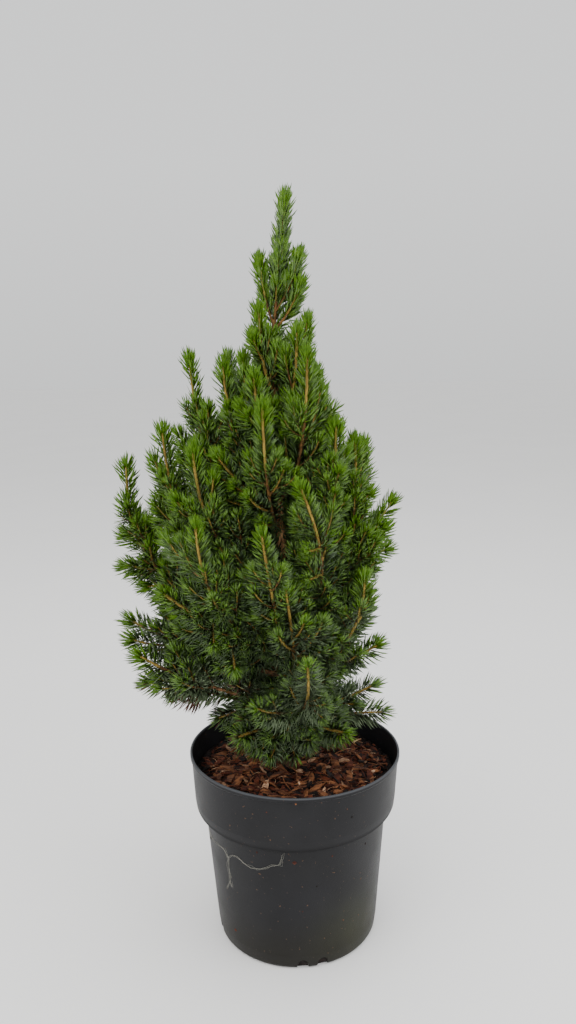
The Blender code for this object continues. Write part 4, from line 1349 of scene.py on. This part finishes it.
def drain_azimuths():
    pairs = [DRAIN_AZIMUTH + k * 360 / DRAIN_PAIRS for k in range(DRAIN_PAIRS)]
    return [pair + side * DRAIN_SPREAD for pair in pairs for side in (-1, 1)]


def drain_arch(foot):
    """The outline of a drain notch in shares of its width and height, down to a given foot."""
    angles = [math.pi * k / 8 for k in range(9)]
    return [(0.5 * math.cos(a), 0.3 + 0.7 * math.sin(a)) for a in angles] + [(-0.5, foot), (0.5, foot)]


def block_faces(count):
    """Faces of a block between two outlines of as many points."""
    faces = [tuple(range(count)), tuple(range(2 * count - 1, count - 1, -1))]
    return faces + [((j + 1) % count, j, j + count, (j + 1) % count + count) for j in range(count)]


def drain_cutters(finish):
    along, inwards, upwards = (side * MM for side in DRAIN_SIZE)
    arch = drain_arch(-1.0)
    made = []
    for azimuth in drain_azimuths():
        outer = around(azimuth, FOOT_CORNER[0] * MM + inwards * 0.5, 0)
        inner = around(azimuth, FOOT_CORNER[0] * MM - inwards * 0.3, 0)
        side = Vector((0, 0, 1)).cross(outer - inner).normalized()
        points = [middle + side * (u * along) + Vector((0, 0, w * upwards))
                  for middle in (outer, inner) for u, w in arch]
        made.append(mesh_piece("drain_cutter", points, block_faces(len(arch)), finish))
    return made


def make_pot(finish):
    outline = rounded(pot_corners() + pot_inside())
    points, faces = turned(outline, POT_SIDES)
    pot = mesh_piece("pot_shell", points, faces, finish)
    others = bpy.data.collections.new("drain_cutters")
    bpy.context.scene.collection.children.link(others)
    cutters = drain_cutters(finish)
    for cutter in cutters:
        bpy.context.scene.collection.objects.unlink(cutter)
        others.objects.link(cutter)
    step = pot.modifiers.new("drains", "BOOLEAN")
    step.operation = "DIFFERENCE"
    step.solver = "EXACT"
    step.operand_type = "COLLECTION"
    step.collection = others
    cut = bpy.data.meshes.new_from_object(pot.evaluated_get(bpy.context.evaluated_depsgraph_get()))
    pot.modifiers.clear()
    pot.data = cut
    for cutter in cutters:
        bpy.data.objects.remove(cutter)
    bpy.data.collections.remove(others)
    cut.shade_smooth()
    cut.set_sharp_from_angle(angle=math.radians(40))
    keep(pot, "pot_plastic", "pot")


def on_wall(azimuth, height, lift):
    """A point on the outside of the pot, or a little off it."""
    reaches, heights = zip(BODY_FOOT, SHOULDER_FOOT, SHOULDER_TOP, COLLAR_FOOT, LIP_FOOT)
    reach = squeezed(float(np.interp(height, heights, reaches)), azimuth, height)
    return around(azimuth, (reach + lift) * MM, height * MM)


def tube_faces(steps, start=0):
    """Faces of a three-sided tube of so many steps, closed at both ends."""
    end = start + 3 * steps
    faces = [(start + 2, start + 1, start), (end, end + 1, end + 2)]
    for k in range(start, end, 3):
        for j in range(3):
            a, b = k + j, k + (j + 1) % 3
            faces.append((a, b, b + 3, a + 3))
    return faces


def make_web(finish):
    """Thin threads of an old web that hang on the wall below the collar."""
    chance = random.Random(SEED + 9)
    points, faces = [], []
    for thread, shift in [(thread, shift) for thread in WEB for shift in WEB_SHIFTS]:
        last = len(thread) - 1
        faces += tube_faces(last, len(points))
        line = []
        for azimuth, height in thread:
            turn = azimuth + chance.uniform(-shift, shift)
            line.append(on_wall(turn, height + chance.uniform(-shift, shift), 0.25))
        for k, point in enumerate(line):
            along = (line[min(k + 1, last)] - line[max(k - 1, 0)]).normalized()
            out = Vector((point.x, point.y, 0)).normalized()
            side = along.cross(out)
            points += [point + (out * math.cos(turn) + side * math.sin(turn)) * THREAD_RADIUS * MM
                       for turn in (0, 2.1, 4.2)]
    keep(mesh_piece("web_threads", points, faces, finish, smooth=False), "pot_plastic")


CRUMB_FACES = ((0, 1, 4), (1, 2, 4), (2, 3, 4), (3, 0, 4), (1, 0, 5), (2, 1, 5), (3, 2, 5), (0, 3, 5))


def make_specks(finishes):
    """Flat crumbs of bark that stick to the outside of the pot."""
    chance = random.Random(SEED + 10)
    for tone in ("red", "dark", "brown"):
        points, faces = [], []
        for azimuth, height, size in [speck[1:] for speck in SPECKS if speck[0] == tone]:
            faces += [tuple(len(points) + corner for corner in face) for face in CRUMB_FACES]
            middle = on_wall(azimuth, height, 0.1)
            side = around(azimuth + 90, 1, 0)
            up = Vector((0, 0, 1))
            out = around(azimuth, 1, 0) * 0.35
            points += [middle + axis * size / 2 * MM * chance.uniform(0.7, 1.2)
                       for axis in (side, up, -side, -up, out, -out)]
        specks = mesh_piece(f"specks_{tone}", points, faces, finishes[f"mulch_{tone}"], smooth=False)
        keep(specks, "bark_mulch")


def make_drain_shade_fill(finish):
    """A dark fill in the drain notches, a little behind the wall: painted shade for the hollow behind each
    notch.
    """
    along, upwards = DRAIN_SIZE[0] * DRAIN_FILL, DRAIN_SIZE[2] * DRAIN_FILL
    arch = drain_arch(0.03)
    points, faces = [], []
    for azimuth in drain_azimuths():
        faces += [tuple(len(points) + corner for corner in face) for face in block_faces(len(arch))]
        side = around(azimuth + 90, MM, 0)
        for foot, growth, most in DRAIN_SHADE_FILL:
            points += [around(azimuth, min(most, foot + growth * w * upwards) * MM, w * upwards * MM)
                       + side * (u * along) for u, w in arch]
    keep(mesh_piece("drain_soil", points, faces, finish, smooth=False), "bark_mulch")


def uneven(seed):
    """A smooth uneven field over the bed, as a sum of a few waves."""
    chance = random.Random(seed)
    waves = [(chance.uniform(-0.35, 0.35), chance.uniform(-0.35, 0.35), chance.uniform(0, 6.3))
             for _ in range(MULCH_WAVES)]

    def rise(x, y):
        whole = sum(math.sin(a * x + b * y + c) for a, b, c in waves)
        return MULCH_WAVE_HEIGHT * whole / math.sqrt(MULCH_WAVES)
    return rise


def make_mulch(finish):
    """The mulch's body with an uneven top, and the mesh that litter is strewn on."""
    field = uneven(SEED)
    wall = POT_WALL + MULCH_GAP
    outline = [
        (40, POT_FLOOR + MULCH_GAP), (BODY_FOOT[0] - wall - 5, POT_FLOOR + MULCH_GAP),
        (BODY_FOOT[0] - wall, BODY_FOOT[1]), (SHOULDER_FOOT[0] - wall, SHOULDER_FOOT[1]),
        (COLLAR_FOOT[0] - wall, COLLAR_FOOT[1]),
    ]
    hidden = len(outline) * MULCH_SIDES
    outline += [(radius, mulch_height(radius)) for radius in np.linspace(MULCH_WALL_RADIUS, 4, 36)]
    points, faces = turned(outline, MULCH_SIDES)
    for p in points[hidden:]:
        if p.z > (MULCH_EDGE - 4) * MM:
            calm = min(1.0, math.hypot(p.x, p.y) / MM / 14)
            p.z += field(p.x / MM, p.y / MM) * MM * calm
    bed = mesh_piece("mulch_bed", points, faces, finish)
    keep(bed, "bark_mulch", "mulch")
    return bed


def chip_shape(name, length, width, thick, chance, finish):
    """A torn slab of bark with an uneven outline."""
    count = 7
    angles = [2 * math.pi * k / count + chance.uniform(-0.25, 0.25) for k in range(count)]
    edge = [(math.cos(a) * length / 2 * chance.uniform(0.7, 1.1),
             math.sin(a) * width / 2 * chance.uniform(0.7, 1.15)) for a in angles]
    hump = thick * 1.2
    rims = [(x, y, hump * (1 - (2 * x / length) ** 2)) for x, y in edge]
    top = [Vector((x, y, thick / 2 + rise + chance.uniform(-0.2, 0.2) * thick)) for x, y, rise in rims]
    low = [Vector((x * 0.94, y * 0.94, -thick / 2 + rise)) for x, y, rise in rims]
    middles = [Vector((0, 0, thick * 0.7 + hump)), Vector((0, 0, hump - thick * 0.5))]
    points = [p * MM for p in top + low + middles]
    faces = []
    for j in range(count):
        k = (j + 1) % count
        faces += [(j, k, 2 * count), (count + k, count + j, 2 * count + 1), (k, j, count + j, count + k)]
    return mesh_piece(name, points, faces, finish, smooth=False)


def fibre_shape(name, length, thick, curve, chance, finish):
    """A thin torn fibre that bows up in the middle."""
    steps = 5
    points = []
    for k in range(steps + 1):
        t = k / steps
        radius = thick / 2 * (0.35 + 0.65 * math.sin(math.pi * min(0.98, max(0.06, t))))
        bow = curve * 0.5 * math.sin(math.pi * t)
        middle = Vector(((t - 0.5) * length, curve * math.sin(2.4 * t), bow))
        turn = chance.uniform(0, 0.6)
        points += [(middle + Vector((0, math.cos(turn + a), 0.6 * math.sin(turn + a))) * radius) * MM
                   for a in (0, 2.1, 4.2)]
    return mesh_piece(name, points, tube_faces(steps), finish, smooth=False)


def crumb_shape(name, size, chance, finish):
    axes = [(1, 0, 0), (0, 1, 0), (-1, 0, 0), (0, -1, 0), (0, 0, 0.7), (0, 0, -0.7)]
    points = [Vector(a) * size / 2 * MM * chance.uniform(0.7, 1.2) for a in axes]
    return mesh_piece(name, points, CRUMB_FACES, finish, smooth=False)


SHAPES = {"crumb": crumb_shape, "chip": chip_shape, "fibre": fibre_shape}


def make_litter(bed, finishes):
    """Bark chips, torn fibres and crumbs over the whole bed, each kind a piece of its own."""
    chance = random.Random(SEED + 3)
    tree = litter_tree()
    shapes = [SHAPES[kind.shape](f"{kind.name}_shape", *kind.size, chance, finishes[kind.finish])
              for kind in LITTER]
    for number, (kind, shape) in enumerate(zip(LITTER, shapes)):
        litter = grown(kind.name, bed.data, tree, {
            "Piece": shape, "Spacing": kind.spacing * MM, "Inner Radius": LITTER_MIDDLE * MM,
            "Outer Radius": kind.reach * MM, "Smallest": kind.smallest, "Largest": kind.largest,
            "Tilt": kind.tilt, "Lift": kind.lift * MM, "Seed": 20 + number, "Finish": finishes[kind.finish],
        })
        drop_low_points(litter)
        bpy.data.objects.remove(shape)
        keep(litter, "bark_mulch")


def drop_low_points(litter):
    """Removes what was strewn on the hidden sides and underside of the bed."""
    mesh = litter.data
    count = len(mesh.vertices)
    heights = np.empty(count * 3, np.float32)
    mesh.vertices.foreach_get("co", heights)
    heights = heights.reshape(-1, 3)[:, 2]
    sheet = bmesh.new()
    sheet.from_mesh(mesh)
    sheet.verts.ensure_lookup_table()
    low = [sheet.verts[k] for k in np.nonzero(heights < (MULCH_EDGE - LITTER_DROP) * MM)[0]]
    bmesh.ops.delete(sheet, geom=low, context="VERTS")
    sheet.to_mesh(mesh)
    sheet.free()


def make_wood(shoots, limbs, finishes):
    """Trunk, limbs and twigs with their bark."""
    tree = wood_tree()
    ages = {label: finishes[name] for label, name in WOOD_FINISHES.items()}
    foot = mulch_height(0) - 3
    heights = np.concatenate([np.linspace(foot, 200, 24), np.linspace(204, TRUNK_TIP, 80)])
    flare = 1 + 0.35 * np.exp(-(heights - foot) / 7)
    thickness = np.array([trunk_radius(height) for height in heights]) * flare
    trunk_line = Guide(np.array([trunk_centre(height) for height in heights]),
                       {"thickness": thickness, "age": 1.0 - 0.75 * smooth_step(heights, 380, 560)})
    # Its old part takes the trunk's bark, painted lighter as painted light
    trunk = grown("trunk_bark", guide_mesh("trunk_guide", [trunk_line]), tree,
                  {**TRUNK_MESH, **ages, "Old Finish": finishes["bark_trunk"]})
    keep(trunk, "bark", "trunk")
    roots = {bough.name: trunk_centre(bough.root) for bough in BOUGHS if bough.name != "leader"}
    limb_ages = ((0, 1), (0.95, 0.62))
    guides = [wood_guide(line, LIMB_RADII, limb_ages, roots[name]) for name, line in limbs.items()]
    boughs = grown("bough_bark", guide_mesh("bough_guide", guides), tree, {**BOUGH_MESH, **ages})
    keep(boughs, "bark", *[f"{name}_bough" for name in limbs])
    guides = []
    chance = random.Random(SEED + 5)
    for shoot in shoots:
        root = None
        if shoot.level == STEM:
            root = limbs[shoot.mass][-1] if shoot.mass in limbs else roots.get(shoot.mass)
        guides.append(wood_guide(shoot.line, TWIG_RADII[shoot.level], shoot_ages(shoot, chance), root))
    twigs = grown("twigs", guide_mesh("twig_guide", guides), tree, {**TWIG_MESH, **ages})
    keep(twigs, "bark")


def make_needles(shoots, limbs, outline, finishes):
    """All needles, in pieces one above the other."""
    chance = random.Random(SEED + 2)
    tree = needles_tree()
    guides = []
    for shoot in shoots:
        guide = needle_guide(shoot, outline, chance)
        guides.append(guide)
        guides += [tuft_guide(guide, 0.95 - 0.1 * k) for k in range(TUFTS[shoot.level])]
        if shoot.level < SIDE_SHOOT:
            guides.append(thicker_end(guide, line_length(shoot.line)))
        if shoot.mass == "leader":
            upper = smooth_step(guide.points[:, 2] / MM, 555, 590)
            guides.append(Guide(guide.points, {**guide.values, "cover": 0.9 * upper}))
    guides += [limb_needles(line, chance) for line in limbs.values()] + [trunk_needles()]
    for guide in [guide for guide in guides if withered(guide, chance)]:
        guide.values["dry"] = 1.0
        guide.values["cover"] = 0.3
    guides.sort(key=lambda guide: guide.points[:, 2].mean())
    sizes = np.array([np.linalg.norm(np.diff(guide.points, axis=0), axis=1).sum() for guide in guides])
    count = len(NEEDLE_TIERS)
    tiers = np.minimum((np.cumsum(sizes) / sizes.sum() * count).astype(int), count - 1)
    masses = [f"{bough.name}_foliage" for bough in BOUGHS]
    for number, tier in enumerate(NEEDLE_TIERS):
        own = [guide for guide, place in zip(guides, tiers) if place == number]
        needles = grown(f"needles_{tier}", guide_mesh(f"needle_guide_{tier}", own), tree,
                        {**NEEDLE_MESH, "Seed": 10 * number, **finishes})
        keep(needles, "needles", *(masses if number == 0 else ()))


def withered(guide, chance):
    """A few old side shoots low on the left have dried up."""
    x, y, z = guide.points.mean(axis=0) / MM
    inner = DRY_ACROSS[0] < x < DRY_ACROSS[1] and DRY_DEEP[0] < y < DRY_DEEP[1] and z < DRY_TOP
    return inner and chance.random() < 0.5


# Stage

def make_stage():
    """A plain pale floor, and soft light from above and the front."""
    finish, tree, shader, vector = new_finish("floor_pale", 0.75, 0.2)
    cloud = noise(tree, vector, 3.0, 3.0)
    plug(tree, shader["Base Color"], blended(tree, cloud, colour(233, 232, 231), colour(239, 238, 237)))
    side = 12.0
    corners = [(-side, -side, 0), (side, -side, 0), (side, side, 0), (-side, side, 0)]
    floor = mesh_piece("floor", corners, [(0, 1, 2, 3)], finish, smooth=False)

    world = bpy.data.worlds.new("studio")
    world.use_nodes = True
    backdrop = world.node_tree.nodes["Background"]
    backdrop.inputs["Color"].default_value = (0.87, 0.88, 0.88, 1.0)
    place = add(world.node_tree, "ShaderNodeTexCoord").outputs["Generated"]
    brightness = first(world.node_tree, "ShaderNodeMapRange", {
        "Value": parts_of(world.node_tree, place)[2],
        "From Min": -0.05, "From Max": 0.2, "To Min": 1.07, "To Max": 1.28,
    })
    plug(world.node_tree, backdrop.inputs["Strength"], brightness)
    bpy.context.scene.world = world
    # Name, place, size, power and tone
    lamps = (
        ("key", (-0.7, -0.9, 1.9), 1.3, 19.0, (1.0, 0.99, 0.97)),
        ("front", (-0.02, -1.5, 0.72), 0.5, 9.0, (1.0, 1.0, 0.98)),
        ("fill", (1.3, -0.7, 1.3), 1.4, 16.0, (0.97, 0.99, 1.0)),
        ("top", (0.1, 0.5, 2.1), 1.4, 13.0, (1.0, 1.0, 1.0)),
    )
    for name, place, size, power, tone in lamps:
        light = bpy.data.lights.new(name, "AREA")
        light.size = size
        light.energy = power
        light.color = tone
        lamp = bpy.data.objects.new(name, light)
        lamp.location = place
        lamp.rotation_euler = (Vector((0, 0, 0.3)) - Vector(place)).to_track_quat("-Z", "Y").to_euler()
        bpy.context.scene.collection.objects.link(lamp)


def make_camera():
    """The camera of the photograph."""
    camera = bpy.data.objects.new("camera", bpy.data.cameras.new("camera"))
    camera.data.sensor_width = 36
    camera.data.lens = CAMERA_LENS
    camera.data.clip_start = 0.02
    camera.location = CAMERA_PLACE
    camera.rotation_mode = "XYZ"
    pitch = math.radians(90 - CAMERA_PITCH)
    camera.rotation_euler = (pitch, 0, 0)
    turned_frame = camera.rotation_euler.to_matrix()
    roll = Matrix.Rotation(math.radians(-CAMERA_ROLL), 3, "Z")
    camera.rotation_euler = (turned_frame @ roll).to_euler()
    bpy.context.scene.collection.objects.link(camera)
    bpy.context.scene.camera = camera


def main():
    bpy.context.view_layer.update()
    make_camera()
    mottle, fibre, dust = mottle_group(), fibre_group(), dust_group()
    greens = {label: needle_finish(*look, mottle) for label, look in NEEDLE_FINISHES.items()}
    barks = {name: bark_finish(name, bark, fibre, mottle) for name, bark in BARKS.items()}
    web = plain_finish("web", (150, 148, 138), 0.7, 0.3)
    shoots, limbs = grow()
    outline = Outline(shoots)
    shoots += side_shoots(shoots, limbs, outline, random.Random(SEED + 4))
    make_pot(pot_finish(mottle, fibre, dust))
    make_drain_shade_fill(barks["mulch_dark"])
    make_web(web)
    make_specks(barks)
    make_litter(make_mulch(barks["mulch_dark"]), barks)
    make_wood(shoots, limbs, barks)
    make_needles(shoots, limbs, outline, greens)
    make_stage()


main()
